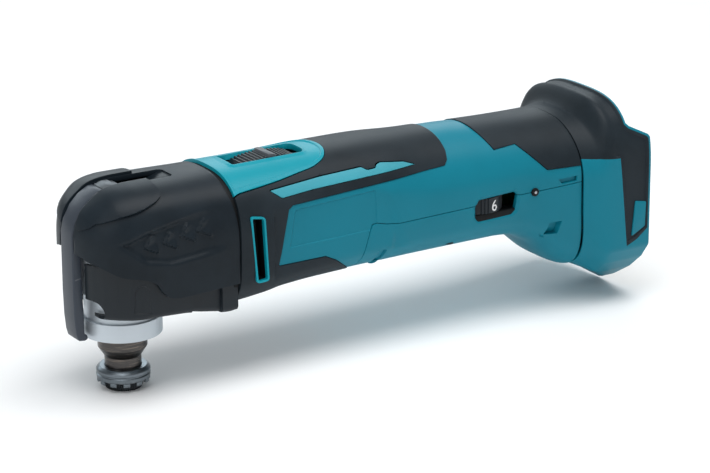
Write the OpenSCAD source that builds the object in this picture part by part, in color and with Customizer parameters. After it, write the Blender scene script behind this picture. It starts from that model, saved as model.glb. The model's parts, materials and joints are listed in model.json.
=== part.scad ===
// Cordless oscillating multi-tool with a tool-less accessory clamp, without its battery.
// Frame: origin where the spindle axis meets the accessory seat, +X to the battery end, +Z up.

/* [Body] */
// Distance from the spindle axis to the rear end of the battery skirts
body_l = 270; // [255:1:300]
// Height of the motor axis above the accessory seat
axis_z = 59.5; // [57:0.5:64]
// Outer radius of the handle barrel
barrel_r = 30; // [28:0.5:34]
// Wall thickness of the moulded shells
wall = 2.4; // [1.8:0.1:3]
// Distance from the spindle axis to the rear end of the head cover
head_back = 44.5; // [44:0.5:50]
// Width of the front band that carries the exhaust slots
band_w = 17.5; // [15:0.5:22]
// Distance from the front band to the start of the lower housing
lower_start = 54.5; // [50:0.5:76]
// Length of the front grip behind the front band
grip_l = 100; // [90:1:106]
// Length of the battery mount, from the barrel seam to the skirt ends
mount_l = 37.7; // [34:0.1:44]

/* [Head] */
// Reach of the head cover in front of the spindle axis
head_front = 28; // [27:0.5:34]
// Width of the head cover
head_w = 62; // [60:0.5:70]
// Height of the head cover's top above the accessory seat
head_top = 91; // [90:0.5:96]
// Radius of the cast collar above the accessory spindle
collar_r = 18.4; // [18:0.1:22]
// Height of the collar's lower face above the accessory seat
collar_z = 21.6; // [18:0.1:23]
// Height of the collar's upper edge above the accessory seat
collar_top = 29.8; // [28:0.1:33]

/* [Accessory clamp] */
// Radius of the accessory flange
flange_r = 12.4; // [12.2:0.1:16]
// Thickness of the accessory flange
flange_h = 5.2; // [4:0.1:6.5]
// Number of drive studs on the accessory flange
stud_count = 12; // [6:1:12]
// Radius of one drive stud
stud_r = 1.2; // [0.9:0.05:1.3]
// Length of one drive stud
stud_h = 2.4; // [1.8:0.1:3]
// Radius of the circle through the drive studs
stud_circle_r = 11.1; // [10.9:0.1:13]
// Radius of the clamp bolt's knurled head
bolt_head_r = 8.7; // [7.5:0.1:9]
// Height of the clamp bolt's knurled head
bolt_head_h = 4.4; // [3.5:0.1:6]
// Radius of the clamp bolt's stem
bolt_r = 4; // [3:0.1:4.5]
// Length of the clamp bolt's stem above the seat
bolt_l = 43; // [36:0.5:43.5]
// Swing of the spindle each way, in degrees
swing = 1.6; // [0.8:0.1:1.8]
// Width of the clamp lever
lever_w = 11; // [9:0.5:12]
// Thickness of the clamp lever
lever_t = 5; // [4:0.1:5.2]
// Radius of the clamp lever's hinge pin
lever_pin_r = 2; // [1.5:0.1:2.2]
// Throw of the clamp cam
cam_throw = 1.3; // [0.9:0.1:1.4]

/* [Motor] */
// Radius of the motor can
motor_r = 24.5; // [23:0.1:25.2]
// Length of the motor can
motor_l = 66; // [58:1:68]
// Radius of the rotor shaft
shaft_r = 4; // [3.5:0.1:4.5]
// Radius of the cooling fan
fan_r = 24; // [20:0.5:24.3]
// Number of fan blades
fan_blades = 9; // [5:1:15]

/* [Controls] */
// Travel of the slide switch
switch_travel = 5; // [4:0.5:6]
// Length of the slide switch knob
knob_l = 29.5; // [22:0.5:30]
// Width of the slide switch knob
knob_w = 13; // [10:0.5:15]
// Radius of the speed dial
dial_r = 13; // [11:0.5:14]
// Thickness of the speed dial
dial_t = 7.4; // [5:0.2:7.6]

/* [Battery mount] */
// Width of the battery mount
mount_w = 78; // [76:0.5:86]
// Depth of the skirts that cover the battery rails
skirt_d = 13; // [10:0.5:15]
// Wall thickness of the battery mount
mount_wall = 3; // [2.2:0.1:3.5]

/* [Fits] */
// Running clearance round a shaft or a pin
run_gap = 0.05; // [0.02:0.01:0.09]
// Clearance between pieces that move past each other
move_gap = 0.4; // [0.3:0.05:0.6]

/* [Hidden] */
$fn = 64;
far = 200;
barrel_in = barrel_r - wall;
band_x = head_back + band_w;
lower_x = band_x + lower_start;
seam_x = body_l - mount_l;
seam_gap = 1.5;
parting_z = axis_z + 0.5;

// head
cover_half = head_w / 2;
cover_cx = cover_half - head_front;
neck_r = 21;
gear_r = 17;
body_r = 20.2;
cavity_r = 18;
cavity_z0 = axis_z - 13.5;
cavity_z1 = axis_z + 8;
gear_top = axis_z + 16.5;
gear_z0 = cavity_z0 - 3;
flange_x = head_back - 4.5;
flange_back = head_back + 1.5;
band_r = barrel_r + 1.5;
band_in = barrel_r - 1.5;
gear_flange_r = band_in - 0.1;
slot_half = lever_w / 2 + move_gap;

// spindle
neck_low_r = 8.4;
neck_high_r = 11.3;
spigot_r = 6.5;
journal_r = 8.5;
low_bearing_r = 15;
low_bearing_w = 7;
low_bearing_z = collar_z + 2.8;
fork_seat_r = 9;
top_journal_r = 6;
top_bearing_r = 12;
top_bearing_w = 6;
top_bearing_z = gear_top - top_bearing_w - 1.2;
chamber_r = 6.2;
chamber_z0 = 33;
chamber_z1 = axis_z + 1;
stem_bore_r = bolt_r + run_gap;
collet_z1 = chamber_z0 + 11.3;

// clamp cam and thrust pin
pivot_z = gear_top + 7;
cam_r = 4.6;
cam_w = 9;
pin_r = 3;
pin_top = pivot_z + cam_throw - cam_r - 0.3;
pin_head_z = chamber_z1 - 4.5;
pin_head_h = 2;
pin_head_r = chamber_r - run_gap;
spring_wire = 1.1;
spring_r = 4.9;
spring_turns = 5;

// eccentric drive
ecc_x = 26.5;
ecc_r = 5;
ecc_throw = ecc_x * sin(swing);
ecc_bearing_r = 9.5;
ecc_bearing_w = 5;
fork_gap = ecc_bearing_r + 2 * ecc_throw + 0.35;
fork_arm_t = 4;
fork_x1 = ecc_x + 3.5;
tip_r = shaft_r - 1;
tip_x = 20;
front_bearing_x = flange_x - 3;
ball_bearing_r = 11;
ball_bearing_w = 7;

// motor
fan_x = head_back + 5.5;
fan_w = 8;
baffle_x = band_x - 2;
baffle_t = 1.6;
motor_x = band_x + 4;
motor_back = motor_x + motor_l;
can_t = 1.6;
magnet_t = 4;
air_gap = 0.5;
core_r = motor_r - can_t - magnet_t - air_gap;
core_x = motor_x + 10;
core_l = motor_l - 20;
coil_slots = 12;
coil_r = 1.9;
coil_circle_r = core_r - 3.4;
comm_r = 10;
comm_x = motor_back + 1;
comm_l = 14;
brush_x = motor_back + 5.5;
brush_w = 5;
brush_h = 6;
holder_l = 28;
rear_bearing_x = motor_back + 18.5;
shaft_back = rear_bearing_x + ball_bearing_w;
screw_r = 1.6;
head_screw_circle = (fan_r + band_in) / 2 + 0.25;

// controls
plate_back = band_x + 40;
plate_half = 24;
plate_r = barrel_r + 2;
knob_x1 = band_x + 27.5;
knob_x0 = knob_x1 - knob_l;
window_x0 = knob_x0 - switch_travel - move_gap;
window_x1 = knob_x1 + 1;
window_half = knob_w / 2 + 1.5;
rod_z = axis_z + barrel_in - 2.6;
rod_t = 1.6;
rod_half = 4;
unit_x = motor_back + holder_l + switch_travel + 2.5;
unit_l = 22;
dial_x = seam_x - 50.6;
dial_y = -(barrel_r - 0.8) + dial_r;
dial_z = parting_z - 8;
dial_rod_r = 2;
pot_r = 6;
board_z = axis_z - 18.5;
board_t = 1.6;
board_half = 17;
house_screw_y = 20;
house_screw_x = [dial_x - dial_r - 4.7, seam_x - 10];
house_screw_r = 1.7;
house_head_r = 2.9;
house_boss_r = 3.6;

// battery mount
mount_half = mount_w / 2;
mount_x = seam_x + seam_gap;
flare_x = seam_x + 11.7;
bay_x = body_l - skirt_d;
keel_z = axis_z - 64.9;
keel_x = body_l - 22;
keel_front_z = axis_z - 50.5;
mount_split = axis_z + 10.5;
mount_top = axis_z + 37.5;
neck_mount_r = barrel_r + 3;
belly_half = 24;
rail_t = 4;
side_panel_t = 1.5;
badge_t = 1;
terminal_z = axis_z - 32;

teal = [0.05, 0.45, 0.52];
charcoal = [0.16, 0.18, 0.2];
dark = [0.09, 0.1, 0.11];
steel = [0.6, 0.61, 0.63];
cast = [0.72, 0.74, 0.77];

// A 2D outline in (Y, Z) drawn along X from x0 to x1.
module along_x(x0, x1) {
    translate([x0, 0, 0])
        rotate([90, 0, 90])
            linear_extrude(x1 - x0)
                children();
}

// A 2D outline in (X, Z) drawn along Y from y0 to y1.
module along_y(y0, y1) {
    translate([0, y1, 0])
        rotate([90, 0, 0])
            linear_extrude(y1 - y0)
                children();
}

// A cylinder on the motor axis from x0 to x1, or on a parallel axis.
module x_cyl(r, x0, x1, y = 0, z = axis_z) {
    translate([x0, y, z])
        rotate([0, 90, 0])
            cylinder(r = r, h = x1 - x0);
}

module y_cyl(r, y0, y1, x, z) {
    translate([x, y1, z])
        rotate([90, 0, 0])
            cylinder(r = r, h = y1 - y0);
}

module z_cyl(r, z0, z1, x = 0, y = 0) {
    translate([x, y, z0])
        cylinder(r = r, h = z1 - z0);
}

module box(x0, x1, y0, y1, z0, z1) {
    translate([x0, y0, z0])
        cube([x1 - x0, y1 - y0, z1 - z0]);
}

module both_sides() {
    children();
    mirror([0, 1, 0])
        children();
}

// A ball bearing standing on its lower face: races with a shield set in between.
module bearing(bore_r, outer_r, width) {
    race = (outer_r - bore_r) * 0.28;
    shield_depth = 0.5;
    difference() {
        cylinder(r = outer_r, h = width);
        translate([0, 0, -1])
            cylinder(r = bore_r, h = width + 2);
        for (z = [-1, width - shield_depth])
            translate([0, 0, z])
                difference() {
                    cylinder(r = outer_r - race, h = shield_depth + 1);
                    cylinder(r = bore_r + race, h = shield_depth + 1);
                }
    }
}

module x_bearing(bore_r, outer_r, width, x, y = 0, z = axis_z) {
    translate([x, y, z])
        rotate([0, 90, 0])
            bearing(bore_r, outer_r, width);
}

// ---- head -------------------------------------------------------------------

// Plan outline of the head cover, drawn in by i.
module head_plan(i) {
    translate([cover_cx, 0])
        circle(r = cover_half - i);
    translate([cover_cx, -(cover_half - i)])
        square([head_back - cover_cx, 2 * (cover_half - i)]);
}

// Lower edge of the head cover as a line of (X, Z) points.
function cover_edge(dz) = [
    [head_back, axis_z - 18.5 + dz], [7, axis_z - 18.5 + dz], [-1, axis_z - 9.5 + dz],
    [-18, axis_z - 6.5 + dz], [-head_front, axis_z - 1.5 + dz]
];

// The head's outline from the side, drawn in by i; its lower edge drops by dz.
module head_side(i, drop) {
    polygon(concat([for (p = cover_edge(-drop)) [p[0] < 0 ? p[0] : p[0] + drop, p[1]]], [
        [-head_front, head_top - 21], [-head_front + 4 + i, head_top - 11 - i],
        [-head_front + 13 + i / 2, head_top - 3 - i], [-6, head_top - i],
        [head_back + drop, head_top - i]
    ]));
}

// The head as one solid, drawn in by i; with open set, its lower and rear ends run on.
module head_solid(i, open = 0) {
    round_r = cover_half + 5;
    intersection() {
        translate([0, 0, axis_z - 70])
            linear_extrude(120)
                union() {
                    head_plan(i);
                    translate([head_back - 5, -(cover_half - i)])
                        square([5 + open, 2 * (cover_half - i)]);
                }
        along_y(-cover_half, cover_half)
            head_side(i, open);
        union() {
            x_cyl(round_r - i, -far / 2, far, 0, head_top - round_r);
            box(-far / 2, far, -cover_half, cover_half, 0, head_top - round_r + 12);
        }
    }
}

// Room for the clamp lever and its cam in the head.
module lever_slot() {
    box(-head_front - 5, 13, -slot_half, slot_half, gear_top + 0.5, head_top + 5);
    box(-head_front - 5, -body_r - 0.4, -slot_half, slot_half, collar_top, head_top + 5);
    along_y(-slot_half, slot_half)
        polygon([[12, head_top - 8], [26, head_top + 1], [12, head_top + 1]]);
}

module gear_envelope(gap) {
    z_cyl(gear_r + gap, collar_z - 5, gear_z0 + 1);
    z_cyl(body_r + gap, gear_z0 - gap, gear_top + gap);
    box(0, flange_x + 1, -body_r - gap, body_r + gap, gear_z0 - gap, gear_top + gap);
    x_cyl(gear_flange_r + gap, flange_x - gap, head_back + 3);
    for (a = [45 : 90 : 315])
        x_cyl(2.2 + gap, flange_x - 3, flange_x + 1,
            head_screw_circle * cos(a), axis_z + head_screw_circle * sin(a));
}

module led_pocket() {
    box(22.5, 37.5, -far / 2, far / 2, collar_top - 3, collar_top + 2.2);
}

module head_cover() {
    color(charcoal)
        difference() {
            head_solid(0);
            head_solid(wall, 15);
            gear_envelope(0.1);
            lever_slot();
        }
}

module gear_housing() {
    ear_w = 6;
    ear_half = 7;
    color(cast)
        difference() {
            union() {
                z_cyl(collar_r, collar_z, collar_top);
                z_cyl(gear_r, collar_z, gear_z0 + 1);
                z_cyl(body_r, gear_z0, gear_top);
                box(0, flange_x + 1, -body_r, body_r, gear_z0, gear_top);
                x_cyl(gear_flange_r, flange_x, flange_back);
                for (s = [-1, 1])
                    translate([-ear_half, s * (slot_half + ear_w / 2) - ear_w / 2, gear_top])
                        cube([2 * ear_half, ear_w, pivot_z + 3.2 - gear_top]);
            }
            // room for the rocker, the eccentric and its counterweight
            z_cyl(cavity_r, cavity_z0, cavity_z1);
            box(0, flange_x - 4.5, -cavity_r, cavity_r, cavity_z0, cavity_z1);
            x_cyl(12.2, 17, flange_x - 4.5);
            // motor bearing seat and its shaft hole
            x_cyl(shaft_r + 2, flange_x - 5, flange_back + 1);
            x_cyl(ball_bearing_r, front_bearing_x, flange_back + 1);
            // spindle bearing seats
            z_cyl(journal_r + 1.5, collar_z - 1, cavity_z0 + 1);
            z_cyl(low_bearing_r, collar_z - 1, low_bearing_z + low_bearing_w);
            z_cyl(top_bearing_r, top_bearing_z, top_bearing_z + top_bearing_w);
            z_cyl(top_journal_r + 2, cavity_z1 - 1, gear_top + 1);
            // hinge pin of the clamp lever
            y_cyl(lever_pin_r, -far / 2, far / 2, 0, pivot_z);
            for (a = [45 : 90 : 315])
                x_cyl(screw_r, flange_x - 1, flange_back + 1,
                    head_screw_circle * cos(a), axis_z + head_screw_circle * sin(a));
        }
}

module neck_cover() {
    lip = 2;
    color(dark)
        difference() {
            union() {
                intersection() {
                    translate([0, 0, axis_z - 40])
                        linear_extrude(90)
                            head_plan(wall + 0.1);
                    along_y(-cover_half, cover_half)
                        polygon(concat(cover_edge(0),
                            [for (i = [4 : -1 : 0]) cover_edge(lip)[i]]));
                }
                intersection() {
                    union() {
                        z_cyl(neck_r, collar_top, axis_z);
                        box(0, head_back, -neck_r, neck_r, collar_top, axis_z);
                    }
                    along_y(-cover_half, cover_half)
                        polygon(concat(cover_edge(lip),
                            [[-head_front, 0], [head_back, 0]]));
                }
            }
            gear_envelope(0.1);
            lever_slot();
            led_pocket();
            // the casting shows in front, behind the lever
            box(-far / 2, -14, -far / 2, far / 2, 0, axis_z - 16);
            box(2 * wall, head_back - wall, -neck_r + wall, neck_r - wall,
                collar_top + 3.4, gear_z0);
        }
}

module led_lens() {
    color([0.93, 0.95, 1])
        box(24, 36, -7, 7, collar_top + 0.8, collar_top + 2.2);
}

module led_board() {
    color([0.05, 0.3, 0.15])
        box(20, 38, -9, 9, collar_top + 3.4, collar_top + 5);
}

// ---- spindle ----------------------------------------------------------------

module tool_flange() {
    color([0.42, 0.46, 0.5]) {
        difference() {
            union() {
                z_cyl(flange_r, 0, flange_h - 0.9);
                z_cyl(flange_r - 2.5, 0, flange_h);
            }
            z_cyl(spigot_r, -1, flange_h + 1);
        }
        for (i = [0 : stud_count - 1])
            rotate([0, 0, i * 360 / stud_count])
                z_cyl(stud_r, -stud_h, 0, stud_circle_r);
    }
}

module spindle() {
    color([0.36, 0.34, 0.33])
        difference() {
            union() {
                z_cyl(spigot_r, 0, flange_h);
                z_cyl(neck_low_r, flange_h, 10);
                translate([0, 0, 10])
                    cylinder(r1 = neck_low_r, r2 = neck_high_r, h = 4.5);
                z_cyl(neck_high_r, 14.5, collar_z - 0.3);
                z_cyl(journal_r, collar_z - 0.3, low_bearing_z + low_bearing_w + 4);
                z_cyl(fork_seat_r, low_bearing_z + low_bearing_w + 0.3, cavity_z1 - 0.3);
                z_cyl(top_journal_r, cavity_z1 - 0.3, gear_top);
            }
            z_cyl(stem_bore_r, -1, chamber_z0 + 1);
            z_cyl(chamber_r, chamber_z0, chamber_z1);
            z_cyl(pin_r + run_gap, chamber_z1 - 1, gear_top + 1);
        }
}

module clamp_collet() {
    slit = 1.2;
    color(steel)
        difference() {
            z_cyl(chamber_r - run_gap, chamber_z0 + 0.1, collet_z1);
            z_cyl(stem_bore_r + 0.1, chamber_z0 - 1, collet_z1 + 1);
            for (a = [0 : 120 : 240])
                rotate([0, 0, a])
                    box(0, chamber_r + 1, -slit / 2, slit / 2, chamber_z0 + 3, collet_z1 + 1);
        }
}

module clamp_bolt() {
    knurls = 30;
    color(dark)
        difference() {
            union() {
                z_cyl(bolt_head_r, -1 - bolt_head_h, -1);
                z_cyl(6, -1.1, 0);
                z_cyl(bolt_r, -1, bolt_l);
            }
            z_cyl(4.5, -2 - bolt_head_h, -bolt_head_h);
            for (i = [0 : knurls - 1])
                rotate([0, 0, i * 360 / knurls])
                    z_cyl(0.35, -2 - bolt_head_h, -1.6, bolt_head_r);
            for (z = [bolt_l - 6, bolt_l - 3.5])
                difference() {
                    z_cyl(bolt_r + 1, z, z + 1.4);
                    z_cyl(bolt_r - 0.6, z - 1, z + 3);
                }
        }
}

module thrust_pin() {
    color(steel)
        union() {
            z_cyl(pin_r, pin_head_z, pin_top);
            z_cyl(pin_head_r, pin_head_z, pin_head_z + pin_head_h);
            z_cyl(pin_r - 0.4, collet_z1 + 2.7, pin_head_z + 1);
        }
}

// A coil spring swept as one closed tube between two heights.
function coil_point(t, z0, z1, r, turns) =
    [r * cos(360 * turns * t), r * sin(360 * turns * t), z0 + (z1 - z0) * t];

module coil(z0, z1, r, wire_r, turns) {
    sides = 8;
    rings = turns * 20;
    points = [
        for (i = [0 : rings], k = [0 : sides - 1])
            let (c = coil_point(i / rings, z0, z1, r, turns),
                a = 360 * turns * i / rings, b = 360 * k / sides)
            c + wire_r * [cos(b) * cos(a), cos(b) * sin(a), sin(b)]
    ];
    walls = [
        for (i = [0 : rings - 1], k = [0 : sides - 1])
            [i * sides + k, i * sides + (k + 1) % sides,
                (i + 1) * sides + (k + 1) % sides, (i + 1) * sides + k]
    ];
    ends = [
        [for (k = [0 : sides - 1]) sides - 1 - k],
        [for (k = [0 : sides - 1]) rings * sides + k]
    ];
    polyhedron(points, concat([for (w = walls) [w[3], w[2], w[1], w[0]]],
        [for (e = ends) [for (k = [0 : sides - 1]) e[sides - 1 - k]]]));
}

module clamp_spring() {
    half = spring_wire / 2;
    color(steel)
        coil(collet_z1 + half + 0.05, pin_head_z - half - 0.05, spring_r, half, spring_turns);
}

module rocker_fork() {
    sleeve_r = fork_gap + 2.5;
    color([0.3, 0.31, 0.33])
        difference() {
            union() {
                z_cyl(sleeve_r, cavity_z0 + 1, cavity_z1 - 1);
                both_sides()
                    box(0, fork_x1, fork_gap, fork_gap + fork_arm_t, axis_z - 6, axis_z + 6);
            }
            z_cyl(fork_seat_r, cavity_z0, cavity_z1);
            box(tip_x - 7, far, -fork_gap, fork_gap, 0, far);
        }
}

module spindle_lower_bearing() {
    color(steel)
        translate([0, 0, low_bearing_z])
            bearing(journal_r + run_gap, low_bearing_r, low_bearing_w);
}

module spindle_upper_bearing() {
    color(steel)
        translate([0, 0, top_bearing_z])
            bearing(top_journal_r + run_gap, top_bearing_r, top_bearing_w);
}

module dust_seal() {
    color([0.08, 0.08, 0.08])
        difference() {
            z_cyl(low_bearing_r, collar_z + 0.2, collar_z + 1.9);
            z_cyl(journal_r + run_gap, collar_z - 1, collar_z + 3);
        }
}

module bearing_circlip() {
    color(steel)
        difference() {
            z_cyl(low_bearing_r, collar_z + 1.9, low_bearing_z);
            z_cyl(low_bearing_r - 2, collar_z + 1, low_bearing_z + 1);
        }
}

// ---- clamp lever ------------------------------------------------------------

lever_x = head_front - 1.4;
lever_low = 22;
lever_out = [
    [-8.3, head_top - 0.7], [-13, head_top], [-21, head_top - 4.5], [-lever_x + 1.2, head_top - 12],
    [-lever_x, head_top - 19], [-lever_x + 0.2, 42], [-lever_x + 1.6, lever_low]
];
lever_in = [
    [-lever_x + lever_t + 2.4, lever_low], [-lever_x + lever_t + 2.4, lever_low + 2.5],
    [-lever_x + lever_t + 0.9, lever_low + 3.5], [-lever_x + lever_t, 42],
    [-lever_x + lever_t, head_top - 20], [-lever_x + lever_t + 1.2, head_top - 14],
    [-17.4, head_top - 9], [-12, head_top - lever_t], [-8.3, head_top - lever_t]
];

module clamp_lever() {
    color([0.3, 0.33, 0.37])
        along_y(-lever_w / 2, lever_w / 2)
            polygon(concat(lever_out, lever_in));
}

module lever_cam() {
    color(steel)
        difference() {
            union() {
                y_cyl(cam_r, -cam_w / 2, cam_w / 2, 0, pivot_z + cam_throw);
                box(-8.3, 0, -cam_w / 2, cam_w / 2, pivot_z + 1, head_top - 2.4);
            }
            y_cyl(lever_pin_r + run_gap, -cam_w, cam_w, 0, pivot_z);
        }
}

module lever_pin() {
    color(steel)
        y_cyl(lever_pin_r, -slot_half - 6, slot_half + 6, 0, pivot_z);
}

// ---- motor ------------------------------------------------------------------

module front_motor_bearing() {
    color(steel)
        x_bearing(shaft_r + run_gap, ball_bearing_r, ball_bearing_w, front_bearing_x);
}

module rear_motor_bearing() {
    color(steel)
        x_bearing(shaft_r + run_gap, ball_bearing_r, ball_bearing_w, rear_bearing_x);
}

module rotor_shaft() {
    color([0.62, 0.62, 0.63])
        union() {
            x_cyl(tip_r, tip_x, front_bearing_x);
            x_cyl(shaft_r, front_bearing_x - 1, shaft_back);
        }
}

module eccentric_sleeve() {
    color([0.5, 0.51, 0.53])
        difference() {
            x_cyl(ecc_r, 21.5, 31.5, 0, axis_z + ecc_throw);
            x_cyl(tip_r, tip_x, 33);
        }
}

module eccentric_bearing() {
    color(steel)
        x_bearing(ecc_r, ecc_bearing_r, ecc_bearing_w, ecc_x - ecc_bearing_w / 2, 0,
            axis_z + ecc_throw);
}

module counterweight() {
    color([0.45, 0.46, 0.48])
        difference() {
            x_cyl(11, 31.8, flange_x - 5);
            x_cyl(tip_r, 31, flange_x);
            box(31, flange_x, -far / 2, far / 2, axis_z + 4, far);
        }
}

module cooling_fan() {
    blade_t = 1.6;
    color([0.75, 0.76, 0.72])
        difference() {
            union() {
                x_cyl(7, fan_x, fan_x + fan_w);
                x_cyl(fan_r, fan_x + fan_w - 1.5, fan_x + fan_w);
                intersection() {
                    x_cyl(fan_r, fan_x, fan_x + fan_w - 1);
                    for (i = [0 : fan_blades - 1])
                        translate([fan_x, 0, axis_z])
                            rotate([i * 360 / fan_blades, 0, 0])
                                translate([0, -blade_t / 2, 5])
                                    cube([fan_w - 1, blade_t, fan_r]);
                }
            }
            x_cyl(shaft_r, fan_x - 1, fan_x + fan_w + 1);
        }
}

module fan_baffle() {
    color(dark)
        difference() {
            x_cyl(band_in, baffle_x, baffle_x + baffle_t);
            x_cyl(14, baffle_x - 1, baffle_x + baffle_t + 1);
            knob_window();
            for (a = [45 : 90 : 315])
                x_cyl(screw_r, baffle_x - 1, baffle_x + baffle_t + 1,
                    head_screw_circle * cos(a), axis_z + head_screw_circle * sin(a));
        }
}

module motor_can() {
    vent_r = 3;
    color([0.5, 0.51, 0.53])
        difference() {
            x_cyl(motor_r, motor_x, motor_back);
            x_cyl(motor_r - can_t, motor_x + can_t, motor_back + 1);
            x_cyl(shaft_r + 3, motor_x - 1, motor_x + can_t + 1);
            for (a = [30 : 60 : 330])
                x_cyl(vent_r, motor_x - 1, motor_x + can_t + 1,
                    14 * cos(a), axis_z + 14 * sin(a));
        }
}

module motor_magnets() {
    color([0.2, 0.2, 0.22])
        difference() {
            x_cyl(motor_r - can_t, motor_x + 6, motor_back - 6);
            x_cyl(core_r + air_gap, motor_x + 5, motor_back - 5);
            for (s = [-1, 1])
                box(motor_x, motor_back, -10, 10, axis_z + min(s, 0) * 30, axis_z + max(s, 0) * 30);
        }
}

module coil_bars(r, x0, x1) {
    for (i = [0 : coil_slots - 1]) {
        a = i * 360 / coil_slots;
        x_cyl(r, x0, x1, coil_circle_r * cos(a), axis_z + coil_circle_r * sin(a));
    }
}

module rotor_core() {
    mouth = 1.2;
    color([0.55, 0.55, 0.57])
        difference() {
            x_cyl(core_r, core_x, core_x + core_l);
            x_cyl(shaft_r, core_x - 1, core_x + core_l + 1);
            coil_bars(coil_r, core_x - 1, core_x + core_l + 1);
            for (i = [0 : coil_slots - 1])
                translate([core_x - 1, 0, axis_z])
                    rotate([90 - i * 360 / coil_slots, 0, 0])
                        translate([0, -mouth / 2, -core_r - 1])
                            cube([core_l + 2, mouth, 4]);
        }
}

module rotor_windings() {
    end_l = 6;
    color([0.72, 0.38, 0.16])
        union() {
            for (x = [core_x - end_l, core_x + core_l])
                difference() {
                    x_cyl(coil_circle_r + 2.2, x, x + end_l);
                    x_cyl(shaft_r + 2, x - 1, x + end_l + 1);
                }
            coil_bars(coil_r - 0.1, core_x - 1, core_x + core_l + 1);
        }
}

module commutator() {
    bars = 24;
    cut = 0.5;
    color([0.75, 0.45, 0.25])
        difference() {
            x_cyl(comm_r, comm_x, comm_x + comm_l);
            x_cyl(shaft_r, comm_x - 1, comm_x + comm_l + 1);
            for (i = [0 : bars - 1])
                translate([comm_x + 1.5, 0, axis_z])
                    rotate([i * 360 / bars, 0, 0])
                        translate([0, -cut / 2, comm_r - 0.7])
                            cube([comm_l, cut, 2]);
        }
}

module brush_holder() {
    ring_t = 3;
    box_t = 1.5;
    back_x = motor_back + holder_l;
    color(dark)
        difference() {
            union() {
                difference() {
                    x_cyl(motor_r, motor_back, back_x);
                    x_cyl(motor_r - ring_t, motor_back - 1, rear_bearing_x + 5);
                }
                x_cyl(ball_bearing_r + 3, rear_bearing_x - 0.5, back_x);
                both_sides()
                    box(brush_x - box_t, brush_x + brush_w + box_t, comm_r + 1,
                        motor_r - ring_t / 2, axis_z - brush_h / 2 - box_t,
                        axis_z + brush_h / 2 + box_t);
            }
            x_cyl(ball_bearing_r, rear_bearing_x - 1, shaft_back + 0.4);
            both_sides()
                box(brush_x, brush_x + brush_w, 0, motor_r - ring_t, axis_z - brush_h / 2,
                    axis_z + brush_h / 2);
        }
}

module carbon_brushes() {
    color([0.13, 0.13, 0.14])
        both_sides()
            box(brush_x, brush_x + brush_w, comm_r + 0.3, motor_r - 8, axis_z - brush_h / 2,
                axis_z + brush_h / 2);
}

// Flat coiled springs that press the brushes in.
module brush_springs() {
    spring_h = 4;
    r = 2.4;
    color(steel)
        both_sides()
            difference() {
                z_cyl(r, axis_z - spring_h / 2, axis_z + spring_h / 2,
                    brush_x + brush_w / 2, motor_r - 8 + r);
                z_cyl(r - 0.8, axis_z - spring_h, axis_z + spring_h,
                    brush_x + brush_w / 2, motor_r - 8 + r);
            }
}

// ---- barrel -----------------------------------------------------------------

module plate_outline(gap) {
    end_r = plate_half * 0.75;
    translate([head_back - 5, -plate_half - gap])
        square([plate_back - end_r - head_back + 5, 2 * (plate_half + gap)]);
    translate([plate_back - end_r, 0])
        circle(r = end_r + gap);
}

module plate_region(gap) {
    translate([0, 0, axis_z])
        linear_extrude(far)
            plate_outline(gap);
}

module knob_window() {
    box(window_x0, window_x1, -window_half, window_half, axis_z + motor_r - 1, far);
}

module front_band() {
    slot_w = 7;
    slot_low = axis_z - 16.5;
    slot_high = axis_z + 16;
    color(dark)
        difference() {
            x_cyl(band_r, head_back, band_x);
            x_cyl(band_in, head_back - 1, band_x + 1);
            difference() {
                plate_region(0.1);
                x_cyl(barrel_r, 0, far);
            }
            box(head_back + 4.3, head_back + 4.3 + slot_w, -far / 2, far / 2, slot_low, slot_high);
            knob_window();
        }
}

module dial_window() {
    box(dial_x - 10.2, dial_x + 10.2, -far / 2, 0, dial_z - 0.5, parting_z);
}

module main_housing() {
    boss_r = 3.2;
    rib_w = 2;
    color(teal)
        difference() {
            union() {
                difference() {
                    x_cyl(barrel_r, band_x, seam_x);
                    x_cyl(barrel_in, band_x - 1, seam_x + 1);
                }
                // ribs that carry the motor
                for (x = [motor_x + 6, motor_back - 8])
                    difference() {
                        x_cyl(barrel_in + 0.5, x, x + rib_w);
                        x_cyl(motor_r, x - 1, x + rib_w + 1);
                    }
                intersection() {
                    for (a = [45 : 90 : 315])
                        x_cyl(boss_r, band_x, motor_x - 0.2,
                            head_screw_circle * cos(a), axis_z + head_screw_circle * sin(a));
                    x_cyl(barrel_in + 0.5, band_x, motor_x);
                }
                // bosses that take the housing screws
                for (x = house_screw_x)
                    both_sides()
                        intersection() {
                            z_cyl(house_boss_r, parting_z, axis_z + 14, x, house_screw_y);
                            x_cyl(barrel_in + 0.5, band_x, seam_x);
                        }
            }
            box(lower_x, seam_x + 1, -far / 2, far / 2, 0, parting_z);
            for (a = [45 : 90 : 315])
                x_cyl(screw_r, band_x - 1, motor_x,
                    head_screw_circle * cos(a), axis_z + head_screw_circle * sin(a));
            for (x = house_screw_x)
                both_sides()
                    z_cyl(house_screw_r, parting_z - 1, axis_z + 11, x, house_screw_y);
            knob_window();
            // way for the switch rod over the motor
            box(knob_x0, unit_x, -rod_half - move_gap, rod_half + move_gap,
                rod_z - move_gap, rod_z + rod_t + move_gap);
        }
}

function belly(i) = [
    [seam_x - 30, parting_z], [seam_x - 30, axis_z - barrel_r + 4 + i],
    [seam_x - 20, axis_z - barrel_r + 1 + i], [seam_x - 9.3, axis_z - 36.5 + i],
    [seam_x + 1, axis_z - 46.5 + i], [seam_x + 1, parting_z]
];

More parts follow.
